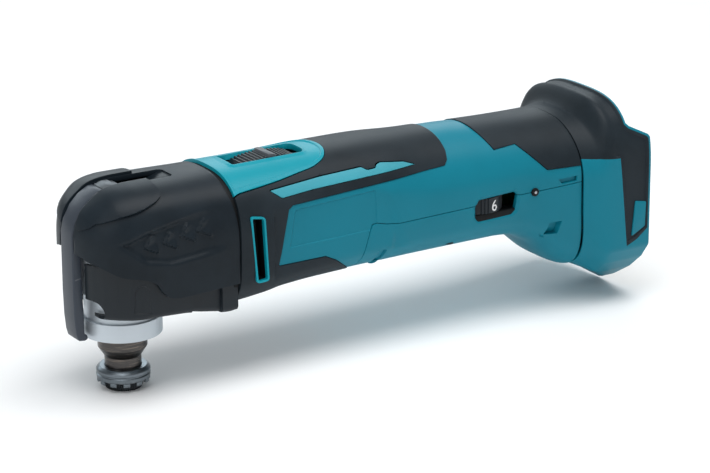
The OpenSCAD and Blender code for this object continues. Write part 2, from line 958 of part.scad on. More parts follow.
module lower_housing() {
    color([0.04, 0.36, 0.43])
        difference() {
            union() {
                difference() {
                    union() {
                        x_cyl(barrel_r, lower_x, seam_x);
                        along_y(-belly_half, belly_half)
                            polygon(belly(0));
                    }
                    x_cyl(barrel_in, lower_x - 1, seam_x + 1);
                    along_y(-belly_half + wall, belly_half - wall)
                        polygon(belly(wall));
                }
                // bosses round the housing screws
                for (x = house_screw_x)
                    both_sides()
                        intersection() {
                            z_cyl(house_boss_r, axis_z - 24, parting_z, x, house_screw_y);
                            x_cyl(barrel_in + 0.5, lower_x, seam_x);
                        }
                // posts under the control board
                for (x = [unit_x, seam_x - 14])
                    box(x, x + 4, -3, 3, axis_z - barrel_r + 1, board_z);
                // rib behind the motor
                difference() {
                    x_cyl(barrel_in + 0.5, motor_back + 10, motor_back + 12);
                    x_cyl(motor_r, motor_back, motor_back + 20);
                }
            }
            box(0, far * 2, -far / 2, far / 2, parting_z, far);
            box(seam_x, far * 2, -far / 2, far / 2, -far, far);
            dial_window();
            z_cyl(pot_r + 0.3, board_z, dial_z, dial_x, dial_y);
            for (x = house_screw_x)
                both_sides() {
                    z_cyl(house_screw_r, axis_z - 40, parting_z + 1, x, house_screw_y);
                    z_cyl(house_head_r + 0.2, axis_z - 40, axis_z - 19, x, house_screw_y);
                }
        }
}

module grip_skin(x0, x1) {
    difference() {
        x_cyl(barrel_r + 1, x0, x1);
        x_cyl(barrel_r, x0 - 1, x1 + 1);
    }
}

module front_grip() {
    color(charcoal)
        difference() {
            grip_skin(band_x, band_x + grip_l);
            box(0, far * 2, -far / 2, far / 2, 0, axis_z + 16);
            plate_region(0.1);
        }
}

module rear_grip() {
    color(charcoal)
        difference() {
            grip_skin(seam_x - 44, seam_x);
            box(0, far * 2, -far / 2, far / 2, 0, axis_z + 8.5);
            along_y(-far / 2, far / 2)
                polygon([[0, 0], [seam_x - 19, 0], [seam_x - 19, axis_z + 8.5],
                    [seam_x - 30, axis_z + 21.5], [0, axis_z + 21.5]]);
        }
}

module switch_plate() {
    color([0.07, 0.55, 0.6])
        difference() {
            intersection() {
                difference() {
                    x_cyl(plate_r, head_back, plate_back);
                    x_cyl(barrel_r, head_back - 1, plate_back + 1);
                }
                plate_region(0);
            }
            knob_window();
        }
}

module switch_knob() {
    ribs = floor((knob_l - 3) / 4.1) + 1;
    top = axis_z + plate_r + 2;
    foot = rod_z + rod_t;
    color(dark)
        union() {
            box(knob_x0, knob_x1, -knob_w / 2, knob_w / 2, foot, top - 1.6);
            for (i = [0 : ribs - 1])
                box(knob_x0 + 1 + i * 4.1, knob_x0 + 3 + i * 4.1, -knob_w / 2 + 1,
                    knob_w / 2 - 1, top - 2, top);
        }
}

module switch_rod() {
    color([0.85, 0.85, 0.83])
        union() {
            box(knob_x0 + 2, unit_x - 0.3, -rod_half, rod_half, rod_z, rod_z + rod_t);
            box(unit_x - 2.2, unit_x - 0.3, -rod_half, rod_half, axis_z + 15, rod_z + rod_t);
        }
}

module switch_unit() {
    color([0.1, 0.1, 0.1])
        union() {
            box(unit_x, unit_x + unit_l, -9, 9, axis_z + 4, axis_z + 19);
            // saddle that hangs the switch under the barrel's roof
            intersection() {
                box(unit_x + 6, unit_x + unit_l - 2, -7, 7, axis_z + 18, far);
                x_cyl(barrel_in, unit_x, unit_x + unit_l);
            }
        }
}

module speed_dial() {
    notches = 36;
    color([0.08, 0.08, 0.09])
        difference() {
            z_cyl(dial_r, dial_z, dial_z + dial_t, dial_x, dial_y);
            z_cyl(dial_rod_r + run_gap, dial_z - 1, dial_z + dial_t + 1, dial_x, dial_y);
            for (i = [0 : notches - 1])
                translate([dial_x, dial_y, 0])
                    rotate([0, 0, i * 360 / notches])
                        z_cyl(0.3, dial_z - 1, dial_z + dial_t + 1, dial_r);
        }
}

module dial_potentiometer() {
    color([0.2, 0.22, 0.5])
        union() {
            z_cyl(pot_r, board_z + board_t, dial_z - 0.3, dial_x, dial_y);
            z_cyl(dial_rod_r, dial_z - 1, dial_z + dial_t - 0.5, dial_x, dial_y);
        }
}

module control_board() {
    color([0.05, 0.35, 0.2])
        union() {
            difference() {
                box(unit_x - 6, seam_x - 5, -board_half, board_half, board_z, board_z + board_t);
                for (x = house_screw_x)
                    both_sides()
                        z_cyl(house_boss_r + 0.3, board_z - 1, board_z + 3, x, house_screw_y);
            }
            box(seam_x - 32, seam_x - 14, -8, 8, board_z + board_t, board_z + 12);
            box(seam_x - 30, seam_x - 20, 9, 15, board_z + board_t, board_z + 8);
        }
}

// ---- battery mount ----------------------------------------------------------

module seam_gasket() {
    color([0.04, 0.04, 0.04])
        difference() {
            x_cyl(neck_mount_r - 0.8, seam_x, mount_x);
            x_cyl(barrel_in - 0.6, seam_x - 1, mount_x + 1);
        }
}

function mount_outline(i) = [
    [0, keel_z + 1.1 * i], [mount_half - 27.2 - 0.48 * i, keel_z + 5.4 + 0.88 * i],
    [mount_half - 14.4 - 0.6 * i, keel_z + 13.7 + 0.8 * i],
    [mount_half - 5.4 - 0.77 * i, keel_z + 21.4 + 0.65 * i],
    [mount_half - i, keel_z + 30.4 + 0.28 * i], [mount_half - i, axis_z + 18.5],
    [mount_half - 3 - i, axis_z + 24.5 - i], [mount_half - 7 - i, mount_top - 10 - i],
    [mount_half - 11 - i, mount_top - 6 - i], [mount_half - 18, mount_top - 2.5 - i],
    [mount_half - 28, mount_top - 1 - i], [0, mount_top - i]
];

module mount_section(i) {
    half = mount_outline(i);
    last = len(half) - 1;
    polygon(concat(half, [for (k = [last - 1 : -1 : 1]) [-half[k][0], half[k][1]]]));
}

// The mount's section from x0 to x1, cut off along its keel, drawn in by i.
module mount_block(x0, x1, i) {
    rise = 1.2 * i;
    slope = (keel_front_z - keel_z) / (body_l - keel_x);
    intersection() {
        along_x(x0, x1)
            mount_section(i);
        along_y(-far / 2, far / 2)
            polygon([[flare_x - 1, far], [flare_x - 1, keel_front_z + 0.8 + rise],
                [keel_x, keel_front_z + rise], [body_l + 2, keel_z + 0.4 - 2 * slope + rise],
                [body_l + 2, far]]);
    }
}

module mount_shell() {
    neck_wall = 2.6;
    difference() {
        union() {
            x_cyl(neck_mount_r, mount_x, flare_x + 1);
            along_y(-belly_half, belly_half)
                polygon([[mount_x, axis_z - 46.5], [flare_x + 1, keel_front_z + 1.5],
                    [flare_x + 1, axis_z], [mount_x, axis_z]]);
            mount_block(flare_x, body_l, 0);
        }
        x_cyl(neck_mount_r - neck_wall, mount_x - 1, flare_x + 4);
        along_y(-belly_half + neck_wall, belly_half - neck_wall)
            polygon([[mount_x - 1, axis_z - 43.5], [flare_x + 4, keel_front_z + 3.6],
                [flare_x + 4, axis_z], [mount_x - 1, axis_z]]);
        mount_block(flare_x + mount_wall, body_l + 1, mount_wall);
        // the hood stops at the bay floor and the skirts slope down from it
        along_y(-far / 2, far / 2)
            polygon([[bay_x, axis_z + 24.5], [bay_x, far], [body_l + far, far],
                [body_l + far, axis_z + 18.5], [body_l - 1, axis_z + 18.5]]);
        // seats of the side panels and the badge plates
        both_sides() {
            panel_block(0);
            badge_block(0);
        }
    }
}

module panel_block(gap) {
    along_y(mount_half - side_panel_t, mount_half + 1 - gap)
        polygon([[flare_x + 0.5, mount_split - 1], [bay_x - 3, mount_split - 1],
            [bay_x - 1, axis_z - 34], [flare_x + 0.5, axis_z - 34 + 8]]);
}

module badge_block(gap) {
    along_y(mount_half - badge_t, mount_half + 1 - gap)
        polygon([[bay_x + 1, axis_z - 12], [bay_x + 9, axis_z - 12],
            [bay_x + 8, axis_z - 28.5], [bay_x + 1, axis_z - 34]]);
}

module mount_housing() {
    lip_w = 2.5;
    lip_t = 3.5;
    color(teal)
        union() {
            difference() {
                mount_shell();
                box(0, far * 2, -far / 2, far / 2, mount_split, far);
            }
            both_sides()
                box(body_l - lip_t, body_l, mount_half - mount_wall - lip_w,
                    mount_half - mount_wall + 0.5, axis_z - 20, mount_split);
        }
}

module mount_hood() {
    color(charcoal)
        difference() {
            mount_shell();
            box(0, far * 2, -far / 2, far / 2, -far, mount_split);
        }
}

module side_panels() {
    color(teal)
        both_sides()
            panel_block(1);
}

module badge_plates() {
    color([0.08, 0.45, 0.5])
        both_sides()
            badge_block(1);
}

module rail_plate() {
    color(dark)
        difference() {
            mount_block(bay_x - rail_t, bay_x, mount_wall);
            box(bay_x - rail_t - 1, bay_x + 1, -22, 22, terminal_z, terminal_z + 26);
            for (y = [-28, 28])
                x_cyl(house_screw_r, bay_x - rail_t - 1, bay_x + 1, y, axis_z + 12);
            // recess for the battery's latch
            box(bay_x - 2.5, bay_x + 1, -14, 14, axis_z + 22, axis_z + 30);
        }
}

module terminal_block() {
    color([0.7, 0.66, 0.1])
        difference() {
            box(bay_x - 8, bay_x + 3, -22, 22, terminal_z, terminal_z + 26);
            for (y = [-15, -5, 5, 15])
                box(bay_x - 6, bay_x + 4, y - 0.5, y + 0.5, terminal_z + 4, terminal_z + 27);
        }
}

module battery_terminals() {
    color([0.8, 0.7, 0.45])
        for (y = [-15, -5, 5, 15])
            box(bay_x - 6, bay_x + 9, y - 0.5, y + 0.5, terminal_z + 4, terminal_z + 24);
}

// ---- fasteners --------------------------------------------------------------

module head_screws() {
    color(steel)
        for (a = [45 : 90 : 315]) {
            y = head_screw_circle * cos(a);
            z = axis_z + head_screw_circle * sin(a);
            x_cyl(screw_r, flange_x - 0.5, motor_x - 0.5, y, z);
            x_cyl(1.9, flange_x - 2, flange_x, y, z);
        }
}

module housing_screws() {
    color([0.1, 0.1, 0.1])
        for (x = house_screw_x)
            both_sides() {
                z_cyl(house_screw_r, axis_z - 19.5, axis_z + 10.5, x, house_screw_y);
                z_cyl(house_head_r, axis_z - 21.5, axis_z - 19, x, house_screw_y);
            }
}

module mount_screws() {
    color(steel)
        for (y = [-28, 28]) {
            x_cyl(house_screw_r, bay_x - rail_t - 6, bay_x + 0.5, y, axis_z + 12);
            x_cyl(3.2, bay_x, bay_x + 2, y, axis_z + 12);
        }
}

gear_housing();
neck_cover();
head_cover();
led_lens();
led_board();
spindle_lower_bearing();
spindle_upper_bearing();
dust_seal();
bearing_circlip();
lever_pin();
front_motor_bearing();
rear_motor_bearing();
front_band();
fan_baffle();
motor_can();
motor_magnets();
brush_holder();
carbon_brushes();
brush_springs();
main_housing();
lower_housing();
front_grip();
rear_grip();
switch_plate();
switch_unit();
dial_potentiometer();
control_board();
seam_gasket();
mount_housing();
mount_hood();
side_panels();
badge_plates();
rail_plate();
terminal_block();
battery_terminals();
head_screws();
housing_screws();
mount_screws();
spindle();
tool_flange();
rocker_fork();
clamp_collet();
clamp_bolt();
thrust_pin();
clamp_spring();
clamp_lever();
lever_cam();
rotor_shaft();
rotor_core();
rotor_windings();
commutator();
cooling_fan();
eccentric_sleeve();
eccentric_bearing();
counterweight();
switch_knob();
switch_rod();
speed_dial();
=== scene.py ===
# Looks of a cordless oscillating multi-tool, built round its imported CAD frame.
import json
import math

import bmesh
import bpy
from mathutils import Matrix, Vector


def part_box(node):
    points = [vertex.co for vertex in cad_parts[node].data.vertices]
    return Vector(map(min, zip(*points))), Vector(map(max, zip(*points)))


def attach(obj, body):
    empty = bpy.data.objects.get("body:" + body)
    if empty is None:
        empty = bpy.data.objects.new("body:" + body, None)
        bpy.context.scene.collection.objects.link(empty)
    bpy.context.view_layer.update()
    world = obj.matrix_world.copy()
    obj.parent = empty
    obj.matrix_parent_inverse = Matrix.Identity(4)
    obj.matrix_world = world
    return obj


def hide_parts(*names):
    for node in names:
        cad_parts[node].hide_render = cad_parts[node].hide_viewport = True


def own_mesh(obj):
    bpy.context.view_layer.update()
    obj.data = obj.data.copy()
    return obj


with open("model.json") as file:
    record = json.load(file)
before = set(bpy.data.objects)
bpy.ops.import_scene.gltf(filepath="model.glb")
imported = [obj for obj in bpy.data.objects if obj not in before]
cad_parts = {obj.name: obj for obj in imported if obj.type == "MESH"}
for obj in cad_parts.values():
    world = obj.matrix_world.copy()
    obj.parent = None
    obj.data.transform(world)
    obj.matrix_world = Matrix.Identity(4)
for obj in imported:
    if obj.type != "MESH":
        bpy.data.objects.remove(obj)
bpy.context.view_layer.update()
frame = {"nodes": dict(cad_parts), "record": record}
nodes = frame["nodes"]
mm = 0.001
print("frame loaded")

# Places that the pieces share, in millimetres, read from the frame.
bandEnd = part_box("front_band")[1].x / mm
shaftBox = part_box("rotor_shaft")
axisZ = (shaftBox[0].z + shaftBox[1].z) / 2 / mm
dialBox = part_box("speed_dial")
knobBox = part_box("switch_knob")
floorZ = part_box("clamp_bolt")[0].z


class Sock:
    # One socket of a material's node tree, with arithmetic.
    def __init__(self, shader, socket):
        self.shader = shader
        self.socket = socket

    def maths(self, operation, a, b):
        return self.shader.node("ShaderNodeMath", {"operation": operation}, {0: a, 1: b})

    def __add__(self, other):
        return self.maths("ADD", self, other)

    def __radd__(self, other):
        return self.maths("ADD", other, self)

    def __sub__(self, other):
        return self.maths("SUBTRACT", self, other)

    def __rsub__(self, other):
        return self.maths("SUBTRACT", other, self)

    def __mul__(self, other):
        return self.maths("MULTIPLY", self, other)

    def __rmul__(self, other):
        return self.maths("MULTIPLY", other, self)


class Shader:
    # A new material whose tree holds one Principled shader.
    def __init__(self, name):
        self.material = bpy.data.materials.new(name)
        self.material.use_nodes = True
        self.tree = self.material.node_tree
        self.bsdf = self.tree.nodes["Principled BSDF"]
        self.place = self.node("ShaderNodeTexCoord", {}, {}, "Object")

    def node(self, kind, settings, inputs, out=0):
        made = self.tree.nodes.new(kind)
        for key, value in settings.items():
            setattr(made, key, value)
        for key, value in inputs.items():
            if isinstance(value, Sock):
                self.tree.links.new(value.socket, made.inputs[key])
            else:
                made.inputs[key].default_value = value
        return Sock(self, made.outputs[out])

    def noise(self, scale, detail=2.0, rough=0.5, stretch=None):
        place = self.place
        if stretch:
            place = self.node("ShaderNodeMapping", {}, {"Vector": place, "Scale": stretch})
        return self.node("ShaderNodeTexNoise", {},
                         {"Vector": place, "Scale": scale, "Detail": detail, "Roughness": rough})

    def mix(self, factor, a, b):
        return self.node("ShaderNodeMix", {"data_type": "RGBA"}, {0: factor, 6: a, 7: b}, 2)

    def ramp(self, value, low, high):
        return self.node("ShaderNodeMapRange", {"clamp": True},
                         {"Value": value, "From Min": low, "From Max": high})

    def bump(self, height, distance, strength):
        return self.node("ShaderNodeBump", {},
                         {"Height": height, "Distance": distance, "Strength": strength})

    def set(self, **sockets):
        for key, value in sockets.items():
            target = self.bsdf.inputs[key.replace("_", " ")]
            if isinstance(value, Sock):
                self.tree.links.new(value.socket, target)
            else:
                target.default_value = value
        return self.material


def rgb(r, g, b):
    return (r, g, b, 1.0)


def scaled(colour, factor, add=0.0):
    return rgb(*[min(1.0, c * factor + add) for c in colour])


# Moulded plastic: spark-eroded texture, slow colour drift and faint rub marks.
def mouldedPlastic(name, colour, roughness=0.42, grain=1.0, tint=0.12, scuff=0.0, shine=0.3):
    s = Shader(name)
    fine = s.noise(2600.0, 2.0, 0.6)
    base = s.mix(s.ramp(s.noise(18.0, 3.0), 0.3, 0.7), scaled(colour, 1 - tint), scaled(colour, 1 + tint))
    marks = s.ramp(s.noise(90.0, 6.0, 0.75, (1.0, 1.0, 3.0)), 0.62, 0.8)
    if scuff:
        base = s.mix(marks * scuff, base, scaled(colour, 1.5, 0.02))
    rough = roughness - 0.05 + s.ramp(fine, 0.3, 0.7) * 0.06 + marks * 0.08
    return s.set(Base_Color=base, Roughness=rough, Specular_IOR_Level=shine,
                 Normal=s.bump(fine, 0.00002 * grain, 0.6))


# Overmoulded elastomer: leathery pebble with a dusty bloom.
def softRubber(name, colour, roughness, shine):
    s = Shader(name)
    pebble = s.node("ShaderNodeTexVoronoi", {}, {"Vector": s.place, "Scale": 1500.0})
    bloom = s.ramp(s.noise(24.0, 5.0, 0.62), 0.35, 0.75)
    return s.set(Base_Color=s.mix(bloom, scaled(colour, 0.8), scaled(colour, 1.35, 0.003)),
                 Roughness=roughness - 0.04 + bloom * 0.1, Specular_IOR_Level=shine,
                 Normal=s.bump(pebble, 0.00003, 0.5))


# Machined metal: fine tool marks, uneven shine and an optional heat stain.
def metal(name, colour, roughness=0.3, stretch=(1.0, 1.0, 18.0), scale=160.0, depth=0.00001,
          stain=None):
    s = Shader(name)
    marks = s.noise(scale, 4.0, 0.6, stretch)
    base = s.mix(s.ramp(s.noise(55.0, 3.0), 0.3, 0.75), scaled(colour, 0.8), rgb(*colour))
    if stain:
        base = s.mix(s.ramp(s.noise(120.0, 4.0, 0.6, stretch), 0.5, 0.68) * 0.6, base, rgb(*stain))
    return s.set(Base_Color=base, Metallic=1.0, Roughness=roughness - 0.08 + marks * 0.16,
                 Normal=s.bump(marks, depth, 0.7))


def castAluminium(name, colour):
    s = Shader(name)
    sand = s.noise(900.0, 3.0, 0.7)
    base = s.mix(s.ramp(s.noise(40.0, 3.0), 0.3, 0.7), scaled(colour, 0.88), rgb(*colour))
    return s.set(Base_Color=base, Metallic=0.55, Roughness=0.4 + sand * 0.12,
                 Normal=s.bump(sand, 0.00004, 0.6))


def circuitBoard(name):
    s = Shader(name)
    tracks = s.node("ShaderNodeTexBrick", {}, {
        "Vector": s.place, "Scale": 180.0, "Color1": rgb(0.01, 0.12, 0.05),
        "Color2": rgb(0.015, 0.2, 0.08), "Mortar": rgb(0.25, 0.3, 0.1), "Mortar Size": 0.02})
    return s.set(Base_Color=tracks, Roughness=0.35 + s.noise(400.0) * 0.1)


def clearPlastic(name):
    s = Shader(name)
    return s.set(Base_Color=rgb(0.93, 0.95, 1.0), Roughness=0.08 + s.noise(300.0) * 0.06,
                 Transmission_Weight=0.7, IOR=1.49)


def copperWire(name):
    s = Shader(name)
    strands = s.node("ShaderNodeTexWave", {"bands_direction": "X"},
                     {"Vector": s.place, "Scale": 500.0, "Distortion": 1.5})
    return s.set(Base_Color=s.mix(strands, rgb(0.35, 0.12, 0.04), rgb(0.8, 0.36, 0.14)),
                 Metallic=0.8, Roughness=0.3 + strands * 0.1, Normal=s.bump(strands, 0.0001, 0.8))


teal = mouldedPlastic("tealPlastic", (0.002, 0.19, 0.265), 0.44, tint=0.07, shine=0.2)
stripeTeal = mouldedPlastic("stripeTeal", (0.05, 0.34, 0.42), 0.46, grain=1.4, tint=0.08)
# Teal lightened to how it looks where light falls from above: painted top light, used on the switch plate and the
# slot linings.
paintedLightTeal = mouldedPlastic("paintedLightTeal", (0.002, 0.3, 0.38), 0.4, grain=0.8, tint=0.06, shine=0.2)
charcoal = softRubber("charcoalRubber", (0.013, 0.02, 0.026), 0.48, shine=0.16)
coverBlack = softRubber("coverRubber", (0.008, 0.014, 0.02), 0.42, shine=0.18)
black = mouldedPlastic("blackPlastic", (0.008, 0.013, 0.018), grain=1.2, tint=0.15)
deepBlack = mouldedPlastic("deepBlackPlastic", (0.004, 0.005, 0.006), 0.6, tint=0.1, shine=0.2)
leverGrey = mouldedPlastic("leverPlastic", (0.04, 0.05, 0.066), 0.4, grain=1.4, scuff=0.35)
knobGrey = mouldedPlastic("knobGreyPlastic", (0.1, 0.11, 0.125), 0.45, tint=0.1)
ivory = mouldedPlastic("ivoryPlastic", (0.62, 0.6, 0.52), 0.45)
yellow = mouldedPlastic("yellowPlastic", (0.7, 0.5, 0.03), 0.4)
blueCase = mouldedPlastic("bluePlastic", (0.03, 0.06, 0.3), 0.4)
numeral = mouldedPlastic("numeralPaint", (0.8, 0.8, 0.8), 0.5, grain=0.5, tint=0.03)
castMetal = castAluminium("castAluminium", (0.62, 0.68, 0.73))
brightSteel = metal("brightSteel", (0.62, 0.63, 0.65), 0.24)
bronzedSteel = metal("bronzedSteel", (0.09, 0.085, 0.082), 0.3, stretch=(1.0, 1.0, 14.0),
                     scale=200.0, depth=0.00002, stain=(0.24, 0.2, 0.165))
flangeSteel = metal("flangeSteel", (0.2, 0.23, 0.255), 0.34, stretch=(1.0, 1.0, 1.0), scale=700.0, depth=0.00002)
blackSteel = metal("blackOxideSteel", (0.04, 0.045, 0.05), 0.36, stretch=(1.0, 1.0, 1.0), scale=500.0)
camSteel = metal("camSteel", (0.17, 0.185, 0.2), 0.5)
sheetSteel = metal("platedSheet", (0.5, 0.51, 0.54), 0.35, stretch=(20.0, 1.0, 1.0), scale=120.0)
terminalBrass = metal("platedBrass", (0.75, 0.58, 0.28), 0.28)
copper = copperWire("copperWire")
board = circuitBoard("circuitBoard")
lens = clearPlastic("clearLens")
ferrite = mouldedPlastic("ferriteMagnet", (0.03, 0.03, 0.032), 0.6)
print("materials made")

finishOf = {
    "cast_aluminium": castMetal, "black_plastic": black, "charcoal_rubber": charcoal,
    "clear_lens": lens, "green_board": board, "bearing_steel": brightSteel,
    "black_rubber": deepBlack, "motor_steel": sheetSteel, "ferrite": ferrite, "carbon": ferrite,
    "teal_plastic": teal, "blue_plastic": blueCase, "yellow_plastic": yellow,
    "terminal_brass": terminalBrass, "black_steel": blackSteel, "spindle_steel": bronzedSteel,
    "flange_steel": flangeSteel, "lever_plastic": leverGrey, "copper_wire": copper,
    "copper_bar": copper, "ivory_plastic": ivory,
}
slotOf = {entry["node"]: entry["material_slot"] for entry in frame["record"]["subparts"]}
for name, piece in nodes.items():
    piece.data.materials.clear()
    piece.data.materials.append(finishOf[slotOf[name]])


# A new object in the scene.
def linked(name, data):
    made = bpy.data.objects.new(name, data)
    bpy.context.scene.collection.objects.link(made)
    return made


# Turns a bmesh in millimetres into a finished piece on its body.
def finishPiece(name, bm, material, body="housing", replaces=(), slot=None, sharp=32.0):
    bmesh.ops.transform(bm, matrix=Matrix.Scale(mm, 4), verts=bm.verts)
    mesh = bpy.data.meshes.new(name)
    bm.to_mesh(mesh)
    bm.free()
    mesh.shade_smooth()
    mesh.set_sharp_from_angle(angle=math.radians(sharp))
    mesh.materials.append(material)
    piece = linked(name, mesh)
    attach(piece, body)
    if replaces:
        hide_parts(*replaces)
    return piece


def bevelSharp(bm, width, angle, segments=2):
    limit = math.radians(angle)
    edges = [e for e in bm.edges if len(e.link_faces) == 2 and e.calc_face_angle(0) > limit]
    if edges:
        bmesh.ops.bevel(bm, geom=edges, offset=width, offset_type="OFFSET", segments=segments,
                        profile=0.5, affect="EDGES", material=-1, clamp_overlap=True)


def outward(bm):
    bmesh.ops.recalc_face_normals(bm, faces=bm.faces[:])


# A closed turned shape about Z from (radius, height) points.
def spinPiece(profile, steps):
    bm = bmesh.new()
    verts = [bm.verts.new((r, 0, z)) for r, z in profile]
    edges = [bm.edges.new((a, b)) for a, b in zip(verts, verts[1:] + verts[:1])]
    bmesh.ops.spin(bm, geom=verts + edges, cent=(0, 0, 0), axis=(0, 0, 1),
                   angle=2 * math.pi, steps=steps, use_merge=True)
    bmesh.ops.remove_doubles(bm, verts=bm.verts, dist=0.0005)
    outward(bm)
    return bm


# Rounds the corners of a closed outline.
def roundCorners(points, radius, steps=3):
    out = []
    for k, (x, y) in enumerate(points):
        p = Vector((x, y))
        a = Vector(points[k - 1]) - p
        b = Vector(points[(k + 1) % len(points)]) - p
        reach = min(radius, a.length * 0.45, b.length * 0.45)
        start = p + a.normalized() * reach
        end = p + b.normalized() * reach
        for i in range(steps + 1):
            t = i / steps
            q = (1 - t) ** 2 * start + 2 * t * (1 - t) * p + t * t * end
            out.append((q.x, q.y))
    return out


# An outline drawn along an axis from low to high, with rounded edges.
def slab(points, low, high, edge=0.0, axis="Y", segments=2, angle=30.0):
    bm = bmesh.new()
    lift = {"Y": lambda a, b, c: (a, c, b), "Z": lambda a, b, c: (a, b, c)}[axis]
    face = bm.faces.new([bm.verts.new(lift(x, y, low)) for x, y in points])
    made = bmesh.ops.extrude_face_region(bm, geom=[face])["geom"]
    tops = [g for g in made if isinstance(g, bmesh.types.BMVert)]
    bmesh.ops.translate(bm, verts=tops, vec=lift(0, 0, high - low))
    outward(bm)
    if edge:
        bevelSharp(bm, edge, angle, segments)
    return bm


# Adds one shape to another and frees it.
def pour(source, target):
    spare = bpy.data.meshes.new("spare")
    source.to_mesh(spare)
    source.free()
    target.from_mesh(spare)
    bpy.data.meshes.remove(spare)


def polar(radius, angle, x=0.0, y=0.0):
    return x + radius * math.cos(angle), y + radius * math.sin(angle)


# The outline of a circle.
def circle(radius, count, x=0.0, y=0.0):
    return [polar(radius, k * math.pi / (count / 2), x, y) for k in range(count)]


# Adds the same shape on the other side of the tool.
def mirrorCopy(bm):
    made = bmesh.ops.duplicate(bm, geom=bm.verts[:] + bm.edges[:] + bm.faces[:])["geom"]
    bmesh.ops.scale(bm, vec=(1, -1, 1), verts=[g for g in made if isinstance(g, bmesh.types.BMVert)])
    bmesh.ops.reverse_faces(bm, faces=[g for g in made if isinstance(g, bmesh.types.BMFace)])


def mirrorAndClose(bm):
    mirrorCopy(bm)
    bmesh.ops.remove_doubles(bm, verts=bm.verts, dist=0.02)


# A smooth value at x from (x, value) knots.
def curveThrough(x, knots):
    if x <= knots[0][0]:
        return knots[0][1]
    if x >= knots[-1][0]:
        return knots[-1][1]
    k = max(i for i in range(len(knots)) if knots[i][0] <= x)
    x0, y0 = knots[k]
    x1, y1 = knots[k + 1]

    def slope(i):
        if i <= 0 or i >= len(knots) - 1:
            return 0.0
        left = (knots[i][1] - knots[i - 1][1]) / (knots[i][0] - knots[i - 1][0])
        right = (knots[i + 1][1] - knots[i][1]) / (knots[i + 1][0] - knots[i][0])
        if left * right <= 0:
            return 0.0
        return 2 * left * right / (left + right)
    h = x1 - x0
    t = (x - x0) / h
    m0, m1 = slope(k) * h, slope(k + 1) * h
    return ((2 * t ** 3 - 3 * t ** 2 + 1) * y0 + (t ** 3 - 2 * t ** 2 + t) * m0
            + (-2 * t ** 3 + 3 * t ** 2) * y1 + (t ** 3 - t ** 2) * m1)


# The point a fraction of the way along an open line.
def walkAlong(points, fraction):
    lengths = [math.dist(a, b) for a, b in zip(points, points[1:])]
    left = fraction * sum(lengths)
    for (a, b), length in zip(zip(points, points[1:]), lengths):
        if left <= length or b == points[-1]:
            t = min(1.0, left / length)
            return (a[0] + (b[0] - a[0]) * t, a[1] + (b[1] - a[1]) * t)
        left -= length


def smooth(t):
    t = min(1.0, max(0.0, t))
    return t * t * (3 - 2 * t)


def softMin(a, b, radius):
    h = max(radius - abs(a - b), 0.0) / radius
    return min(a, b) - h * h * radius * 0.25


def inside(x, y, outline):
    hit = False
    for (ax, ay), (bx, by) in zip(outline, outline[1:] + outline[:1]):
        if (ay > y) != (by > y) and x < (bx - ax) * (y - ay) / (by - ay) + ax:
            hit = not hit
    return hit


# Distance into a closed outline, less than nothing outside it.
def edgeDistance(x, z, outline):
    best = 1e9
    for (ax, az), (bx, bz) in zip(outline, outline[1:] + outline[:1]):
        dx, dz = bx - ax, bz - az
        t = max(0.0, min(1.0, ((x - ax) * dx + (z - az) * dz) / (dx * dx + dz * dz)))
        best = min(best, math.hypot(x - ax - t * dx, z - az - t * dz))
    return best if inside(x, z, outline) else -best


# The closed outline moved outwards by reach, or inwards if reach is negative.
def grown(outline, reach):
    area = sum(a[0] * b[1] - b[0] * a[1] for a, b in zip(outline, outline[1:] + outline[:1]))
    turn = 1.0 if area > 0 else -1.0
    lines = []
    for a, b in zip(outline, outline[1:] + outline[:1]):
        along = (Vector(b) - Vector(a)).normalized()
        lines.append((Vector(a) + Vector((along.y, -along.x)) * turn * reach, along))
    moved = []
    for k in range(len(lines)):
        (p, d), (q, e) = lines[k - 1], lines[k]
        cross = d.x * e.y - d.y * e.x
        if abs(cross) < 0.02:
            moved.append((q.x, q.y))
            continue
        w = q - p
        meet = p + d * ((w.x * e.y - w.y * e.x) / cross)
        moved.append((meet.x, meet.y))
    return moved


# Splits the faces that an outline runs across, seen along Y or Z.
def cutAlong(bm, outline, plane="XZ", reach=3.0, where=lambda c: True):
    for (ax, ay), (bx, by) in zip(outline, outline[1:] + outline[:1]):
        along = Vector((bx - ax, by - ay))
        if along.length < 1e-6:
            continue
        along.normalize()
        lowX, highX = min(ax, bx) - reach, max(ax, bx) + reach
        lowY, highY = min(ay, by) - reach, max(ay, by) + reach
        geom = set()
        for face in bm.faces:
            c = face.calc_center_median()
            second = c.z if plane == "XZ" else c.y
            if lowX < c.x < highX and lowY < second < highY and where(c):
                geom.update((face, *face.edges, *face.verts))
        if not geom:
            continue
        if plane == "XZ":
            spot, normal = (ax, 0, ay), (-along.y, 0, along.x)
        else:
            spot, normal = (ax, ay, 0), (-along.y, along.x, 0)
        bmesh.ops.bisect_plane(bm, geom=list(geom), dist=0.001, plane_co=spot, plane_no=normal)


def dropFaces(bm, test):
    doomed = [f for f in bm.faces if test(f.calc_center_median())]
    bmesh.ops.delete(bm, geom=doomed, context="FACES")
    bmesh.ops.delete(bm, geom=[v for v in bm.verts if not v.link_faces], context="VERTS")


# Cuts away what lies inside an outline.
def cutOut(bm, outline, plane="XZ", reach=3.0, where=lambda c: True):
    cutAlong(bm, outline, plane, reach, where)
    dropFaces(bm, lambda c: where(c) and inside(c.x, c.z if plane == "XZ" else c.y, outline))


# Leaves only what lies inside an outline, seen from the side.
def keepInside(bm, outline, reach=3.0):
    cutAlong(bm, outline, reach=reach)
    dropFaces(bm, lambda c: not inside(c.x, c.z, outline))


